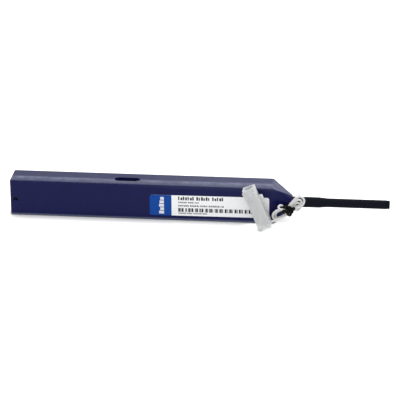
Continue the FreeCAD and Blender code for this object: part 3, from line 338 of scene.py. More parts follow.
@cache
def laid_strands() -> NodeTree:
    """Crossing strands laid round a cord or thread, on its own UV map."""
    board, given = effect("laid_strands", {"Along": 160.0, "Around": 3.0}, "Height", "Groove")
    along, around, _ = board.split(board.place("UV"))
    along = board.times(along, given["Along"])
    around = board.times(around, given["Around"])
    waves = []
    for kind in ("ADD", "SUBTRACT"):
        turn = board.times(board.math(kind, along, around), tau)
        waves.append(board.math("ABSOLUTE", board.math("SINE", turn)))
    height = board.math("MAXIMUM", *waves)
    return board.give(Height=height, Groove=board.ramp(height, 0.35, 0.8, FADE_OUT))


# ---- finishes


@dataclass(frozen=True)
class MouldedPlastic:
    """Injection-moulded plastic with grain, clouding, edge wear widened into a painted highlight, painted
    edge sheen, and painted light on upward faces that also roughens them.
    """

    name: str
    colour: Colour
    cloud: Colour
    roughness: Pair = (0.3, 0.42)
    specular: float = 0.3
    grain: float = 0.0003
    relief: float = 0.12
    wear_and_highlight: float = 0.0
    wear_and_highlight_colour: Colour = (0.2, 0.22, 0.3)
    sheen: Pair = (0.0, 0.0)
    top_light: float = 0.0
    light_cut: float = 0.0
    nose_top_light: float = 0.0
    top_light_colour: Colour = (0.55, 0.56, 0.58)

    def make(self) -> Material:
        """Builds the material."""
        board = Coat(self.name)
        grain = board.shared(mould_grain(), Size=self.grain)
        colour = board.blend(board.ramp(grain["Cloud"], 0.3, 0.7), self.colour, self.cloud)
        roughness = board.ramp(grain["Cloud"], 0.25, 0.75, self.roughness)
        # Edge wear, partly a painted highlight along the long edges.
        if self.wear_and_highlight:
            wear_and_highlight = board.times(board.shared(edge_wear_and_highlight())["Mask"], self.wear_and_highlight)
            colour = board.blend(wear_and_highlight, colour, self.wear_and_highlight_colour)
        # Painted sheen along the lower and upper edges of the case's sides.
        if any(self.sheen):
            lower, upper = self.sheen
            sheen = board.shared(painted_edge_sheen(), Lower=lower, Upper=upper)["Mask"]
            colour = board.blend(sheen, colour, self.wear_and_highlight_colour)
        # Painted light on faces that look up, which also makes them rougher.
        if self.top_light:
            amounts = {"Amount": self.top_light, "LightCut": self.light_cut, "Nose": self.nose_top_light}
            top_light = board.shared(painted_top_light(), **amounts)["Mask"]
            colour = board.blend(top_light, colour, self.top_light_colour)
            roughness = board.math("ADD", roughness, top_light)
        look = {"Base Color": colour, "Roughness": roughness, "Specular IOR Level": self.specular}
        return board.close((grain["Height"], self.relief, 0.00004), look)


@dataclass(frozen=True)
class ClearPlastic:
    """Natural polypropylene: milky, with a glossy skin and some light through it.

    Painted light makes it paler near the table, as bounced light, and inside its hollows against their
    shade.
    """

    name: str
    colour: Colour
    deep: Colour
    roughness: Pair
    through: float
    milky: float
    pale: Colour = (0.85, 0.87, 0.87)
    fade: Pair = (0.8, 0.0)

    def make(self) -> Material:
        """Builds the material."""
        board = Coat(self.name)
        grain = board.shared(mould_grain(), Size=0.0011)
        place = board.place()
        streaks = board.add("Mapping", {"Vector": place, "Scale": (1.0, 1.0, 0.25)}).outputs[0]
        flow = board.ramp(board.noise(streaks, 420.0), 0.35, 0.68)
        colour = board.blend(flow, self.colour, self.deep)
        # Painted bounce light from the table: paler towards the bottom.
        foot = board.ramp(board.split(place)[2], 0.001, 0.0055, self.fade)
        colour = board.blend(foot, colour, self.pale)
        # Painted fill light: paler where ambient occlusion finds hollows.
        clear = board.add("AmbientOcclusion", {"Distance": 0.002}, samples=8).outputs["AO"]
        colour = board.blend(board.ramp(clear, 0.3, 0.75, self.fade), colour, self.pale)
        look = {
            "Base Color": colour,
            "Roughness": board.ramp(grain["Cloud"], 0.3, 0.7, self.roughness),
            "IOR": 1.42,
            "Transmission Weight": self.through,
            "Subsurface Weight": self.milky,
            "Subsurface Radius": (1.0, 1.0, 1.0),
            "Subsurface Scale": 0.0025,
        }
        return board.close((grain["Height"], 0.25, 0.00008), look)


@dataclass(frozen=True)
class CoatedPaper:
    """Smooth label paper, or a flat ink on it."""

    name: str
    colour: Colour
    shade: Colour
    roughness: float = 0.45
    specular: float = 0.35

    def make(self) -> Material:
        """Builds the material."""
        board = Coat(self.name)
        place = board.place()
        fibre = board.add("Mapping", {"Vector": place, "Scale": (1.0, 1.0, 3.0)}).outputs[0]
        tone = board.ramp(board.noise(fibre, 900.0, 5.0), 0.3, 0.7)
        look = {
            "Base Color": board.blend(tone, self.colour, self.shade),
            "Roughness": board.ramp(tone, 0.0, 1.0, (self.roughness, self.roughness + 0.1)),
            "Specular IOR Level": self.specular,
        }
        return board.close((board.noise(place, 3200.0), 0.1, 0.00002), look)


@dataclass(frozen=True)
class LaidFibre:
    """A cord or thread of laid fibres, with painted shade in the grooves between its strands."""

    name: str
    colour: Colour
    groove_shade: Colour
    along: float
    on_uv: bool = True

    def make(self) -> Material:
        """Builds the material."""
        board = Coat(self.name)
        place = board.place()
        if self.on_uv:
            strands = board.shared(laid_strands(), Along=self.along)
            height, groove_shade = strands["Height"], strands["Groove"]
        else:
            height = board.noise(place, self.along, 2.0)
            groove_shade = board.ramp(height, 0.3, 0.5, FADE_OUT)
        fuzz = board.ramp(board.noise(place, 2600.0, 4.0), 0.3, 0.7, (0.0, 0.25))
        # Painted shade in the grooves between strands.
        look = {
            "Base Color": board.blend(board.math("MAXIMUM", groove_shade, fuzz), self.colour, self.groove_shade),
            "Roughness": board.ramp(fuzz, 0.0, 0.25, (0.62, 0.8)),
            "Specular IOR Level": 0.3,
            "Sheen Weight": 0.15,
        }
        return board.close((height, 0.5, 0.00008), look)


@dataclass(frozen=True)
class TurnedSteel:
    """Drawn or turned steel with fine lines round it."""

    name: str
    colour: Colour = (0.52, 0.52, 0.54)
    line: Colour = (0.4, 0.4, 0.42)
    roughness: Pair = (0.22, 0.38)

    def make(self) -> Material:
        """Builds the material."""
        board = Coat(self.name)
        round_it = {"Vector": board.place(), "Scale": (1.0, 12.0, 1.0)}
        turned = board.noise(board.add("Mapping", round_it).outputs[0], 900.0, 4.0)
        look = {
            "Base Color": board.blend(board.ramp(turned, 0.3, 0.7), self.colour, self.line),
            "Metallic": 1.0,
            "Roughness": board.ramp(turned, 0.3, 0.7, self.roughness),
        }
        return board.close((turned, 0.08, 0.00002), look)


def dress(piece: Object, finish: Material) -> None:
    """Gives a piece a finish in place of those it has."""
    piece.data.materials.clear()
    piece.data.materials.append(finish)


def dress_nodes(finish: Material, *names: str) -> None:
    """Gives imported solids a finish, by their node names."""
    for name in names:
        dress(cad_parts[name], finish)
        LOG.info("%s wears %s", name, finish.name)


# ---- modelling by hand


def take(piece: Object) -> None:
    """Makes a piece the only one selected, and the active one."""
    bpy.ops.object.select_all(action="DESELECT")
    piece.select_set(True)
    bpy.context.view_layer.objects.active = piece


@contextmanager
def editing(piece: Object, wanted: Callable[[Vector, Vector], bool] | None = None) -> Iterator[None]:
    """Edits a piece with all of it selected, or only the edges that pass a test.

    Args:
        piece: The mesh piece.
        wanted: Takes an edge's middle and direction, and says whether it is picked.
    """
    take(piece)
    bpy.ops.object.mode_set(mode="EDIT")
    if wanted is None:
        bpy.ops.mesh.select_all(action="SELECT")
    else:
        bpy.ops.mesh.select_mode(type="EDGE")
        bpy.ops.mesh.select_all(action="DESELECT")
        mesh = bmesh.from_edit_mesh(piece.data)
        for edge in mesh.edges:
            first, second = (vertex.co for vertex in edge.verts)
            edge.select = wanted((first + second) / 2, (second - first).normalized())
        mesh.select_flush_mode()
        bmesh.update_edit_mesh(piece.data)
    yield
    bpy.ops.object.mode_set(mode="OBJECT")


def fresh(name: str) -> Object:
    """Names the piece just added, and applies its place, turn and scale to its mesh."""
    piece = bpy.context.object
    piece.name = piece.data.name = name
    bpy.ops.object.transform_apply(location=True, rotation=True, scale=True)
    return piece


def block(name: str, low: Iterable[float], high: Iterable[float]) -> Object:
    """A box between two corners, as a start for modelling.

    Args:
        name: The piece's name.
        low: Its lowest corner.
        high: Its highest corner.

    Returns:
        The piece.
    """
    low, high = Vector(low), Vector(high)
    bpy.ops.mesh.primitive_cube_add(size=1.0, location=(low + high) / 2)
    bpy.context.object.scale = high - low
    return fresh(name)


def rod(name: str, radius: float, low: Vector, high: Vector, sides: int = 48) -> Object:
    """A round bar between two points, as a start for modelling or a cutter.

    Args:
        name: The piece's name.
        radius: Its radius.
        low: The middle of one end.
        high: The middle of the other end.
        sides: How many flats its round has.

    Returns:
        The piece.
    """
    way = high - low
    bpy.ops.mesh.primitive_cylinder_add(
        vertices=sides, radius=radius, depth=way.length, location=(low + high) / 2,
        rotation=way.to_track_quat("Z", "Y").to_euler(),
    )
    return fresh(name)


def apply_step(piece: Object, kind: str, **settings: object) -> None:
    """Adds a modifier of a kind to a piece, with its settings, and applies it."""
    take(piece)
    step = piece.modifiers.new(kind.lower(), kind)
    for key, value in settings.items():
        setattr(step, key, value)
    bpy.ops.object.modifier_apply(modifier=step.name)


def combine(piece: Object, tool: Object, kind: Merge) -> None:
    """Cuts a tool from a piece or adds it, which uses the tool up."""
    apply_step(piece, "BOOLEAN", operation=kind.value, object=tool, solver="EXACT")
    bpy.data.objects.remove(tool)


def soften(piece: Object, width: float, angle: float = 35.0) -> None:
    """Rounds the edges of a piece that are sharper than an angle in degrees."""
    limit = radians(angle)
    apply_step(piece, "BEVEL", width=width, segments=2, limit_method="ANGLE", angle_limit=limit)


def tidy(piece: Object, angle: float = 40.0) -> None:
    """Merges doubles, turns faces outwards and shades smooth up to an angle in degrees."""
    with editing(piece):
        bpy.ops.mesh.remove_doubles(threshold=1e-6)
        bpy.ops.mesh.normals_make_consistent(inside=False)
    bpy.ops.object.shade_smooth_by_angle(angle=radians(angle))


def turned(degrees: float, axis: str) -> Matrix:
    """A turn about the X, Y or Z axis."""
    return Matrix.Rotation(radians(degrees), 4, axis)


def settle(piece: Object, where: Matrix) -> None:
    """Moves a mesh from a frame of its own into place, and leaves its object at the origin."""
    piece.data.transform(where)
    piece.data.update()


def join(name: str, pieces: list[Object]) -> Object:
    """Joins pieces into one.

    Args:
        name: The joined piece's name.
        pieces: The pieces, the first of which stays.

    Returns:
        The joined piece.
    """
    take(pieces[0])
    for piece in pieces:
        piece.select_set(True)
    bpy.ops.object.join()
    pieces[0].name = pieces[0].data.name = name
    return pieces[0]


def hold(piece: Object, body: str = "pen_body") -> None:
    """Attaches a piece to the body that it moves with, and logs it."""
    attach(piece, body)
    LOG.info("%s rides on %s", piece.name, body)


# ---- studio


@dataclass
class Studio:
    """The table, the soft lights and the camera.

    The painted contact shadow reaches far under the case and little under the nozzle or behind the case.
    Each light has its name, place, size and power.
    """

    target: Point = (0.00017, 0.0, 0.009373)
    distance: float = 1.0
    azimuth: float = 5.0474
    elevation: float = 22.9561
    lens: float = 162.15
    ambient: float = 0.72
    table_lift: float = 0.65
    contact: Pair = (0.009, 0.0012)
    contact_power: float = 3.6
    case_to_nozzle: Pair = (0.02, 0.03)
    behind_case: Pair = (-0.107, -0.1035)
    table_size: float = 5.0
    lights: tuple[tuple[str, Point, float, float], ...] = (
        ("upper_box", (-0.1, 0.35, 1.3), 1.2, 8.0),
        ("front_box", (0.0, -1.3, 0.5), 1.4, 5.5),
        ("right_box", (1.2, 0.3, 0.9), 0.8, 4.0),
    )

    def set_camera(self) -> None:
        """Aims the camera at the pen."""
        turn, rise = radians(self.azimuth), radians(self.elevation)
        level = cos(rise)
        back = Vector((sin(turn) * level, -cos(turn) * level, sin(rise)))
        data = bpy.data.cameras.new("studio_camera")
        data.lens, data.sensor_width, data.clip_start = self.lens, 36.0, 0.01
        camera = bpy.data.objects.new("studio_camera", data)
        camera.location = Vector(self.target) + back * self.distance
        camera.rotation_euler = (-back).to_track_quat("-Z", "Y").to_euler()
        bpy.context.collection.objects.link(camera)
        bpy.context.scene.camera = camera
        LOG.info("camera set")

    @staticmethod
    def _seen(board: Board) -> NodeSocket:
        """One where a ray comes from the camera, a reflection or a clear piece."""
        path = board.add("LightPath").outputs
        glossy = board.math("MAXIMUM", path["Is Glossy Ray"], path["Is Transmission Ray"])
        return board.math("MAXIMUM", path["Is Camera Ray"], glossy)

    def lay_table(self) -> None:
        """Lays the pale table top."""
        bpy.ops.mesh.primitive_plane_add(size=self.table_size, location=(0.0, 0.0, 0.0))
        table = bpy.context.object
        table.name = "table_top"
        board = Coat("pale_table")
        place = board.place()
        tone = board.blend(board.noise(place, 6.0), (0.8, 0.8, 0.8), (0.81, 0.81, 0.81))
        matt = board.add("BsdfDiffuse", {"Color": tone})
        along = board.split(place)[0]
        reach = board.ramp(along, *self.case_to_nozzle, self.contact)
        reach = board.times(reach, board.ramp(along, *self.behind_case, (0.1, 1.0)))
        # Painted contact shadow: ambient occlusion darkens the table's white lift near the pieces.
        clear = board.add("AmbientOcclusion", {"Distance": reach}, samples=16).outputs["AO"]
        level = board.times(board.math("POWER", clear, self.contact_power), self.table_lift)
        level = board.times(self._seen(board), level)
        lift = board.add("Emission", {"Color": WHITE, "Strength": level})
        both = board.add("AddShader", {0: matt.outputs[0], 1: lift.outputs[0]})
        board.add("OutputMaterial", {"Surface": both.outputs[0]})
        dress(table, board.material)

    def light(self) -> None:
        """Sets the pale surroundings and the soft boxes."""
        world = bpy.data.worlds.new("pale_room")
        world.use_nodes = True
        board = Board(world.node_tree)
        soft = board.add("Background", {"Color": WHITE, "Strength": self.ambient})
        white = board.add("Background", {"Color": WHITE, "Strength": 1.0})
        mixed = board.add("MixShader", {0: self._seen(board), 1: soft.outputs[0], 2: white.outputs[0]})
        board.add("OutputWorld", {"Surface": mixed.outputs[0]})
        bpy.context.scene.world = world
        for name, place, size, power in self.lights:
            data = bpy.data.lights.new(name, "AREA")
            data.size, data.energy = size, power
            lamp = bpy.data.objects.new(name, data)
            lamp.location = place
            lamp.rotation_euler = (-Vector(place)).to_track_quat("-Z", "Y").to_euler()
            bpy.context.collection.objects.link(lamp)


# ---- tether


@dataclass
class Tether:
    """The limp cord from the cap through its tied hank to the loop round the nozzle.

    Its lead is in metres, the hank and the loop are in tenths of a millimetre.
    """

    diameter: float = 0.0012
    length: float = 0.163
    strand: float = 0.0011
    base: Point = (0.044, -0.0096, 0.0065)
    turn: float = 18.5
    rise: float = 26.5
    lead: tuple[Point, ...] = (
        (0.04068, -0.01347, 0.00369),
        (0.0429, -0.01354, 0.00461),
        (0.04589, -0.01099, 0.00494),
        (0.0481, -0.01025, 0.0061),
    )
    hank: tuple[Whole, ...] = (
        (60, -6, -24), (86, -10, -22), (104, -12, -15), (122, -12, -21), (141, -12, -20),
        (157, -12, -9), (164, -12, 8), (161, -12, 25), (149, -12, 38), (135, -12, 42), (119, -12, 39),
        (104, -12, 30), (89, -12, 21), (60, -6, 13), (34, -11, 21), (18, -11, 28), (0, -11, 31),
        (-19, -11, 27), (-31, -11, 14), (-34, -11, -1), (-25, -11, -13), (-7, -11, -18), (11, -11, -19),
        (60, -6, -13), (89, 0, -13), (109, 0, -17), (128, 0, -19), (144, 0, -12), (148, 0, 2),
        (142, 0, 13), (130, 0, 18), (116, 0, 17), (101, 0, 13), (88, 0, 9), (60, 6, 13), (33, 2, 10),
        (16, 2, 15), (-1, 2, 15), (-14, 2, 6), (-19, 2, -7), (-12, 2, -19), (5, 2, -23), (23, 2, -23),
        (60, 6, -13), (82, 13, -16), (92, 13, -32), (105, 13, -44), (121, 13, -46), (132, 13, -37),
        (136, 13, -23), (131, 13, -9), (119, 13, -2), (105, 13, -3), (90, 13, -5), (60, -6, 0),
        (39, -19, 21), (27, -19, 27), (19, -16, 34), (19, -12, 43), (25, -8, 47), (36, -4, 44),
        (43, -1, 33), (48, 3, 15), (56, 6, 6), (68, 6, -2), (88, 8, -2), (101, 16, -10),
    )
    nozzle_loop: tuple[Whole, ...] = (
        (537, -41, 96), (543, -38, 77), (546, -24, 63), (546, -3, 58), (546, 18, 63), (547, 34, 77),
        (548, 41, 97), (549, 38, 118), (550, 26, 135), (550, 7, 143), (548, -14, 143), (543, -32, 139),
        (530, -47, 134), (517, -52, 127), (505, -55, 112), (495, -57, 103),
    )

    def hank_frame(self) -> Matrix:
        """The hank's own frame: X along it, Y away from the labelled side, Z up across it."""
        return Matrix.Translation(self.base) @ turned(self.turn, "Z") @ turned(-self.rise, "Y")

    @staticmethod
    def _metres(point: Iterable[int]) -> Vector:
        """A point in metres, from tenths of a millimetre."""
        return Vector([part / TENTHS for part in point])

    def build(self) -> Object:
        """Lays the cord.

        Returns:
            The curve.
        """
        place = self.hank_frame()
        points = [Vector(point) for point in self.lead]
        points += [place @ self._metres(point) for point in self.hank]
        points += [self._metres(point) for point in self.nozzle_loop]
        data = bpy.data.curves.new("tether", "CURVE")
        data.dimensions = "3D"
        data.bevel_depth, data.bevel_resolution = self.diameter / 2, 3
        data.resolution_u, data.use_fill_caps = 6, True
        spline = data.splines.new("NURBS")
        spline.points.add(len(points) - 1)
        for knot, point in zip(spline.points, points):
            knot.co = (*point, 1.0)
        spline.order_u, spline.use_endpoint_u = 3, True
        cord = bpy.data.objects.new("tether", data)
        bpy.context.collection.objects.link(cord)
        return cord

    def dress(self, cord: Object) -> None:
        """Gives the cord its laid white fibre."""
        fibre = LaidFibre("white_cord", (0.78, 0.78, 0.77), (0.42, 0.42, 0.43), self.length / self.strand)
        cord.data.materials.append(fibre.make())

    def make(self, tie: Object) -> None:
        cord = self.build()
        self.dress(cord)
        hold(cord)
        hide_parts("tether_cord", "tether_hank", "tether_anchor")


@dataclass(frozen=True)
class TieLoop:
    """A small loop of the tie's knot, in hundredths of a millimetre and degrees."""

    where: Whole
    radius: int
    wire: int
    lean: int


@dataclass
class HankTie:
    """The black rubber tie: wraps round the waist of the hank and a knot of small loops."""

    wire: float = 0.0006
    half_deep: float = 0.0014
    half_tall: float = 0.0022
    middle: float = -0.0002
    upright: float = 6.0
    wraps: tuple[Pair, ...] = ((0.0048, -12.0), (0.0056, 8.0), (0.0064, -7.0), (0.0073, 11.0))
    loops: tuple[TieLoop, ...] = (
        TieLoop((440, -240, 340), 55, 38, 25), TieLoop((350, -220, 150), 55, 38, -30),
        TieLoop((560, -240, 280), 65, 40, -25), TieLoop((490, -260, 100), 75, 40, 10),
        TieLoop((680, -250, 180), 65, 40, 35), TieLoop((630, -270, 0), 85, 42, -15),
        TieLoop((310, -160, -20), 30, 38, 40), TieLoop((550, -210, -220), 90, 60, 12),
        TieLoop((740, -180, -220), 45, 40, -30), TieLoop((880, -160, -90), 65, 45, -10),
        TieLoop((770, -200, 20), 45, 40, 50), TieLoop((490, -230, -70), 40, 40, 0),
    )

    @staticmethod
    def _ring(radius: float, wire: float) -> Object:
        """A ring of tie wire that lies across X, as a start for a wrap or a loop.

        Args:
            radius: Radius of its middle line.
            wire: Radius of its wire.

        Returns:
            The ring.
        """
        bpy.ops.mesh.primitive_torus_add(
            major_radius=radius, minor_radius=wire, major_segments=40, minor_segments=12,
            location=(0.0, 0.0, 0.0), rotation=(0.0, radians(90.0), 0.0),
        )
        return fresh("tie_ring")

    def build(self, place: Matrix) -> Object:
        """Models the wraps and the knot in the hank's frame, and returns the tie."""
        radius = (self.half_deep + self.half_tall) / 2
        oval = (1.0, self.half_deep / radius, self.half_tall / radius)
        upright = turned(self.upright, "Y")
        pieces = []
        for along, tilt in self.wraps:
            wrap = self._ring(radius, self.wire)
            with editing(wrap):
                bpy.ops.transform.resize(value=oval, center_override=(0.0, 0.0, 0.0))
            lean = turned(tilt, "Z") @ upright
            settle(wrap, Matrix.Translation((along, 0.0, self.middle)) @ lean)
            pieces.append(wrap)
        for item in self.loops:
            loop = self._ring(item.radius / HUNDREDTHS, item.wire / HUNDREDTHS)
            where = Matrix.Translation([part / HUNDREDTHS for part in item.where])
            settle(loop, where @ turned(90.0 - item.lean, "Z"))
            pieces.append(loop)
        tie = join("hank_tie_wraps", pieces)
        settle(tie, place)
        tidy(tie, 60.0)
        return tie

    def make(self, place: Matrix) -> Object:
        """Builds and dresses the tie in the hank's frame, and returns it."""
        tie = self.build(place)
        rubber = MouldedPlastic(
            "black_rubber", (0.0008, 0.0008, 0.0007), (0.002, 0.002, 0.0017), (0.22, 0.3),
            specular=0.07, grain=0.0005, relief=0.3,
        )
        dress(tie, rubber.make())
        hold(tie)
        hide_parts("hank_tie")
        return tie


# ---- guide cap


@dataclass
class GuideCap:
    """The clear guide cap: a connector socket below, the nozzle's bore above, an ear and latch windows.

    The rib and the ear lie across shares of the head's depth, and up from the top of the block.
    The web is what is left between the socket and the bore.
    """

    corner: Point = (0.03412, -0.0189, 0.00005)
    roll: float = -22.6
    yaw: float = -1.7
    width: float = 0.0073
    depth: float = 0.0076
    block_height: float = 0.0175
    height: float = 0.0247
    head_width: float = 0.0068
    head_depth: float = 0.0059
    wall: float = 0.0007
    socket: float = 0.0105
    web: float = 0.0012
    bore: float = 0.0025
    ferrule: float = 0.0013
    edge: float = 0.0005
    socket_edge: float = 0.0003
    rib: float = 0.0009
    rib_across: Pair = (0.15, 0.75)
    rib_up: Pair = (-0.0006, 0.0066)
    rib_drop: float = 0.0012
    ear_along: Pair = (-0.0006, 0.0018)
    ear_across: Pair = (0.3, 0.7)
    ear_up: Pair = (-0.0022, 0.0012)
    nub: float = 0.00045
    nub_across: Pair = (-0.0002, 0.0003)
    nubs: tuple[Pair, ...] = ((0.0014, 0.0231), (0.0013, 0.0208))
    windows: tuple[tuple[Point, Point], ...] = (
        ((0.0062, 0.0016, 0.0068), (0.0080, 0.0029, 0.0094)),
        ((0.0062, 0.0042, 0.0068), (0.0080, 0.0055, 0.0094)),
    )

    def cap_frame(self) -> Matrix:
        """The cap's own frame, with its lowest corner at the origin and Z up along it."""
        return Matrix.Translation(self.corner) @ turned(self.yaw, "Z") @ turned(self.roll, "Y")

    @staticmethod
    def _rounded(name: str, low: Iterable[float], high: Iterable[float], edge: float) -> Object:
        """A block with rounded upright edges.

        Args:
            name: Its name.
            low: Its lowest corner.
            high: Its highest corner.
            edge: Radius of its upright edges.

        Returns:
            The block.
        """
        piece = block(name, low, high)
        with editing(piece, lambda middle, way: abs(way.z) > 0.9):
            bpy.ops.mesh.bevel(offset=edge, segments=4)
        return piece

    def _rib(self) -> Object:
        """The upright rib on the rear side of the upper block, drawn in at both ends."""
        top, reach = self.block_height, self.rib
        sides = [self.head_depth * share for share in self.rib_across]
        ends = [top + way for way in self.rib_up]
        rib = block("rib", (-reach, sides[0], ends[0]), (self.wall, sides[1], ends[1]))
        with editing(rib, lambda middle, way: abs(way.y) > 0.9 and middle.x < 0.0 and middle.z < top):
            bpy.ops.transform.translate(value=(reach * 0.9, 0.0, 0.0))
        with editing(rib, lambda middle, way: abs(way.y) > 0.9 and middle.x < 0.0 and middle.z > top):
            bpy.ops.transform.translate(value=(0.0, 0.0, -self.rib_drop))
        soften(rib, 0.0003)
        return rib

    def build(self) -> Object:
        """Models the cap.

        Returns:
            The cap.
        """
        top, wall = self.block_height, self.wall
        cap = self._rounded("guide_cap_clear", (0, 0, 0), (self.width, self.depth, top), self.edge)
        head_top = (self.head_width, self.head_depth, self.height)
        head = self._rounded("head", (0, APART, top - 2 * OVER), head_top, self.edge)
        combine(cap, head, Merge.ADD)
        corners = zip(self.ear_along, self.ear_across, self.ear_up)
        ear = block("ear", *((self.width + x, self.head_depth * y, top + z) for x, y, z in corners))
        soften(ear, 0.0004)
        combine(cap, ear, Merge.ADD)
        combine(cap, self._rib(), Merge.ADD)
        for x, z in self.nubs:
            outer, inner = (Vector((x, y, z)) for y in self.nub_across)
            nub = rod("nub", self.nub, inner, outer, 20)
            soften(nub, 0.0001)
            combine(cap, nub, Merge.ADD)
        socket_top = (self.width - wall, self.depth - wall, self.socket)
        inside = self._rounded("socket", (wall, wall, -OVER), socket_top, self.socket_edge)
        combine(cap, inside, Merge.CUT)
        middle = Vector((self.head_width / 2, self.head_depth / 2, 0.0))
        floor = self.socket + self.web
        for name, radius, low, high in (
            ("nozzle_bore", self.bore, floor, self.height + 2 * OVER),
            ("ferrule_hole", self.ferrule, self.socket - OVER, floor + OVER),
        ):
            tool = rod(name, radius, middle + Vector((0, 0, low)), middle + Vector((0, 0, high)))
            combine(cap, tool, Merge.CUT)
        for low, high in self.windows:
            combine(cap, self._rounded("window", low, high, 0.0002), Merge.CUT)
        soften(cap, 0.00015, 50.0)
        tidy(cap, 35.0)
        settle(cap, self.cap_frame())
        return cap

    def make(self) -> None:
        """Builds and dresses the cap."""
        cap = self.build()
        clear = ClearPlastic(
            "milky_clear", (0.635, 0.65, 0.65), (0.58, 0.6, 0.605), (0.2, 0.3), through=0.2, milky=0.5
        )
        dress(cap, clear.make())
        hold(cap)
        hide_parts("guide_cap")


# ---- label


@dataclass
class LabelPrint:
    """The generic print on the label: a field of colour, greeked lines and a plain bar row.

    Each row has its level, its height and the lengths of its words; the row of bars has its end,
    level and height. Words, bars, gaps and the letters of the upright word are in millimetres.
    """

    start: Point = (-0.02695, -0.00805, 0.0029)
    tilt: float = -0.37
    ink_height: float = 0.00002
    ink_depth: float = 0.000005
    field_size: Pair = (0.0121, 0.01205)
    field_corner: float = 0.0011
    text_start: float = 0.0158
    rows: tuple[tuple[float, float, tuple[float, ...]], ...] = (
        (0.0093, 0.0021, (8.9, 7.7, 5.9)),
        (0.0075, 0.0009, (5.1, 3.4, 2.2)),
        (0.0055, 0.0010, (6.4, 5.2, 4.1, 6.3, 2.0)),
        (0.0011, 0.0008, (4.4, 3.1, 5.0, 2.7)),
    )
    letter_step: float = 0.62
    letter_widths: tuple[float, ...] = (0.52, 0.74, 0.62, 0.8)
    letter_drops: tuple[float, ...] = (0.0, 0.28, 0.0, 0.18)
    word_gap: float = 0.45
    bar_row: tuple[float, float, float] = (0.0562, 0.0023, 0.0023)
    bar_widths: tuple[float, ...] = (1.0, 0.5, 1.0, 0.35, 0.5, 1.0, 0.35)
    bar_gaps: tuple[float, ...] = (0.2, 0.25, 0.9, 0.2, 0.65)
    word: tuple[Pair, ...] = ((1.0, 2.7), (3.05, 2.1), (5.1, 2.7), (7.15, 2.4), (9.2, 2.0))
    word_foot: float = 0.0079
    word_letter: float = 0.0017

    def print_frame(self) -> Matrix:
        """The label's own frame: X along it, Z up it, its front face at Y = 0."""
        return Matrix.Translation(self.start) @ turned(self.tilt, "Y")

    def _patch(self, name: str, low: Pair, high: Pair) -> Object:
        """A thin patch of ink between two corners of the label.

        Args:
            name: The patch's name.
            low: Its lower rear corner, along and up the label.
            high: Its upper front corner.

        Returns:
            The patch.
        """
        return block(name, (low[0], -self.ink_height, low[1]), (high[0], self.ink_depth, high[1]))

    def _strokes(self) -> list[Stroke]:
        """The low and high corners of each stroke of the greeked lines and the bar row."""
        strokes = []
        for level, tall, words in self.rows:
            at = self.text_start
            for index, word in enumerate(words):
                step = tall * self.letter_step
                count = max(2, round(word * MM / step))
                for letter in range(count):
                    wide = step * self.letter_widths[(letter * 3 + index) % 4]
                    low = at + letter * step
                    drop = tall * self.letter_drops[(letter + index * 2) % 4]
                    strokes.append((low, level, low + wide, level + tall - drop))
                at += count * step + tall * self.word_gap
        at, (end, level, tall) = self.text_start, self.bar_row
        for wide, gap in zip(cycle(self.bar_widths), cycle(self.bar_gaps)):
            strokes.append((at, level, at + wide * MM, level + tall))
            at += wide * MM + gap * MM
            if at >= end:
                return strokes

    def build(self) -> tuple[Object, Object, Object]:
        """Models the print.

        Returns:
            The field of colour, the black marks and the white word of plain blocks.
        """
        place = self.print_frame()
        colour = self._patch("label_field", (0.0, 0.0), self.field_size)
        with editing(colour, lambda middle, way: abs(way.y) > 0.9 and middle.x < self.field_corner):
            bpy.ops.mesh.bevel(offset=self.field_corner, segments=6)
        tidy(colour)
        settle(colour, place)
        pattern = self._patch("ink_stroke", (0.0, 0.0), (1.0, 1.0))
        with editing(pattern, lambda middle, way: abs(way.y) > 0.9):
            bpy.ops.mesh.bevel(offset=0.08, segments=2)
        marks = self._print(pattern, self._strokes(), place)
        lift = Matrix.Translation((0.0, -self.ink_height, 0.0))
        foot, long = self.word_foot, self.word_letter
        letters = [(foot - wide * MM, low * MM, foot, low * MM + long) for low, wide in self.word]
        word = self._print(pattern, letters, place @ lift)
        bpy.data.objects.remove(pattern)
        return colour, join("label_marks", marks), join("label_word", word)

    @staticmethod
    def _print(pattern: Object, strokes: list[Stroke], place: Matrix) -> list[Object]:
        """Copies of the stroke pattern, each stretched between its low and high corners."""
        marks = []
        for left, low, right, high in strokes:
            mark = pattern.copy()
            mark.data = pattern.data.copy()
            bpy.context.collection.objects.link(mark)
            size = Matrix.Diagonal((right - left, 1.0, high - low, 1.0))
            settle(mark, place @ Matrix.Translation((left, 0.0, low)) @ size)
            marks.append(mark)
        return marks

    def make(self) -> None:
        """Builds and dresses the print and the paper under it."""
        paper = CoatedPaper("label_paper", (0.9, 0.905, 0.915), (0.87, 0.875, 0.885))
        dress_nodes(paper.make(), "label")
        inks = (
            CoatedPaper("blue_ink", (0.003, 0.053, 0.3), (0.005, 0.061, 0.32), 0.5, specular=0.12),
            CoatedPaper("black_ink", (0.012, 0.012, 0.014), (0.02, 0.02, 0.023), 0.5),
            CoatedPaper("white_ink", (0.72, 0.74, 0.78), (0.66, 0.68, 0.72), 0.5, specular=0.12),
        )
        for piece, ink in zip(self.build(), inks):
            dress(piece, ink.make())
            hold(piece)


# ---- case, nozzle and mechanism


@dataclass
class Case:
    """The two shells of the housing."""

    navy: Colour = (0.0035, 0.0045, 0.052)
    navy_cloud: Colour = (0.0055, 0.0065, 0.062)

    def dress(self) -> None:
        """Dresses the shells, the front one with more painted light on top."""
        for name, top_light, light_cut in (("housing_back", 0.08, 0.0), ("housing_front", 0.5, 0.72)):
            # The painted top light and the painted sheen stand in for light on the shells' upper faces
            # and edges.
            shell = MouldedPlastic(
                f"navy_{name}", self.navy, self.navy_cloud, (0.3, 0.4), specular=0.12, grain=0.00025,
                relief=0.1, wear_and_highlight=0.12, sheen=(0.45, 0.05), top_light=top_light, light_cut=light_cut, nose_top_light=0.4,
                top_light_colour=(0.36, 0.38, 0.5),
            )
            dress_nodes(shell.make(), name)


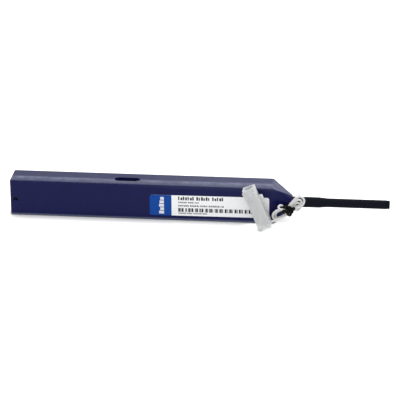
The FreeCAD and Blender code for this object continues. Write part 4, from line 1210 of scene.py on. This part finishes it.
@dataclass(frozen=True)
class Coil:
    """A compression spring on the pen's centre line, with the joint that moves it."""

    node: str
    body: str
    joint: str
    start: float
    end: float
    radius: float
    wire: float
    turns: float
    travel: float
    axis_height: float = CENTRE_HEIGHT

    def build(self) -> Object:
        """Winds the spring from a round section of wire.

        Returns:
            The spring.
        """
        bpy.ops.mesh.primitive_circle_add(
            vertices=12, radius=self.wire, location=(0.0, 0.0, 0.0), rotation=(radians(90.0), 0.0, 0.0)
        )
        piece = fresh(f"{self.node}_coil")
        with editing(piece):
            bpy.ops.transform.translate(value=(0.0, 0.0, self.radius))
        apply_step(
            piece, "SCREW", axis="X", angle=tau * self.turns, iterations=1,
            screw_offset=self.end - self.start - 2 * self.wire, steps=round(self.turns * 24),
        )
        with editing(piece):
            bpy.ops.mesh.fill_holes(sides=16)
        settle(piece, Matrix.Translation((self.start + self.wire, 0.0, self.axis_height)))
        tidy(piece, 60.0)
        return piece

    def make(self, steel: Material) -> None:
        """Builds and dresses the spring, and hangs it on its body with a mesh of its own."""
        piece = self.build()
        dress(piece, steel)
        hold(piece, self.body)
        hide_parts(self.node)
        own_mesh(piece)


@dataclass
class Mechanism:
    """The nozzle and everything that moves inside the housing."""

    springs: tuple[Coil, ...] = (
        Coil(
            "return_spring", "pen_body", "carriage_slide",
            start=-0.09999, end=-0.08201, radius=0.005, wire=0.00045, turns=5.5, travel=0.012,
        ),
        Coil(
            "tip_spring", "rotor", "tip_press",
            start=0.09403, end=0.09656, radius=0.0012, wire=0.00016, turns=4.5, travel=0.0008,
        ),
    )
    finishes: tuple[tuple[MouldedPlastic | LaidFibre, tuple[str, ...]], ...] = (
        (
            MouldedPlastic(
                "black_nozzle", (0.0035, 0.0045, 0.009), (0.005, 0.006, 0.011), (0.5, 0.62),
                specular=0.05, grain=0.00025,
            ),
            ("nozzle",),
        ),
        (
            MouldedPlastic(
                "grey_inner", (0.05, 0.052, 0.058), (0.065, 0.067, 0.072), (0.35, 0.5), specular=0.4
            ),
            ("carriage_frame", "carriage_cover", "thread_guides", "drive_rack", "turning_tube"),
        ),
        (
            MouldedPlastic(
                "white_acetal", (0.62, 0.61, 0.56), (0.68, 0.67, 0.62), (0.28, 0.4), specular=0.45
            ),
            ("drive_pinion", "supply_reel", "take_up_reel", "helix_rotor"),
        ),
        (
            MouldedPlastic("pale_tip", (0.7, 0.69, 0.64), (0.75, 0.74, 0.7), (0.3, 0.42), specular=0.45),
            ("cleaning_tip",),
        ),
        (
            LaidFibre("clean_thread", (0.82, 0.82, 0.8), (0.6, 0.6, 0.58), 5200.0, on_uv=False),
            ("clean_thread", "clean_thread_run", "tip_thread"),
        ),
        (
            LaidFibre("used_thread", (0.6, 0.59, 0.55), (0.38, 0.37, 0.34), 5200.0, on_uv=False),
            ("used_thread", "used_thread_run"),
        ),
    )

    def dress(self) -> None:
        """Dresses each solid of the carriage, the drive and the threads."""
        steel = TurnedSteel("bright_steel").make()
        for spring in self.springs:
            spring.make(steel)
            dress_nodes(steel, spring.node)
        dress_nodes(steel, "supply_axle", "take_up_axle", "brake_washer", "helix_follower_pin")
        for finish, names in self.finishes:
            dress_nodes(finish.make(), *names)


def main() -> None:
    """Builds the pen's looks in order."""
    logging.basicConfig(level=logging.INFO, format="%(name)s: %(message)s")
    studio = Studio()
    studio.set_camera()
    tether = Tether()
    tie = HankTie().make(tether.hank_frame())
    tether.make(tie)
    studio.lay_table()
    studio.light()
    GuideCap().make()
    LabelPrint().make()
    Case().dress()
    Mechanism().dress()
    bpy.context.scene.view_settings.view_transform = "Standard"


if __name__ == "__main__":
    main()
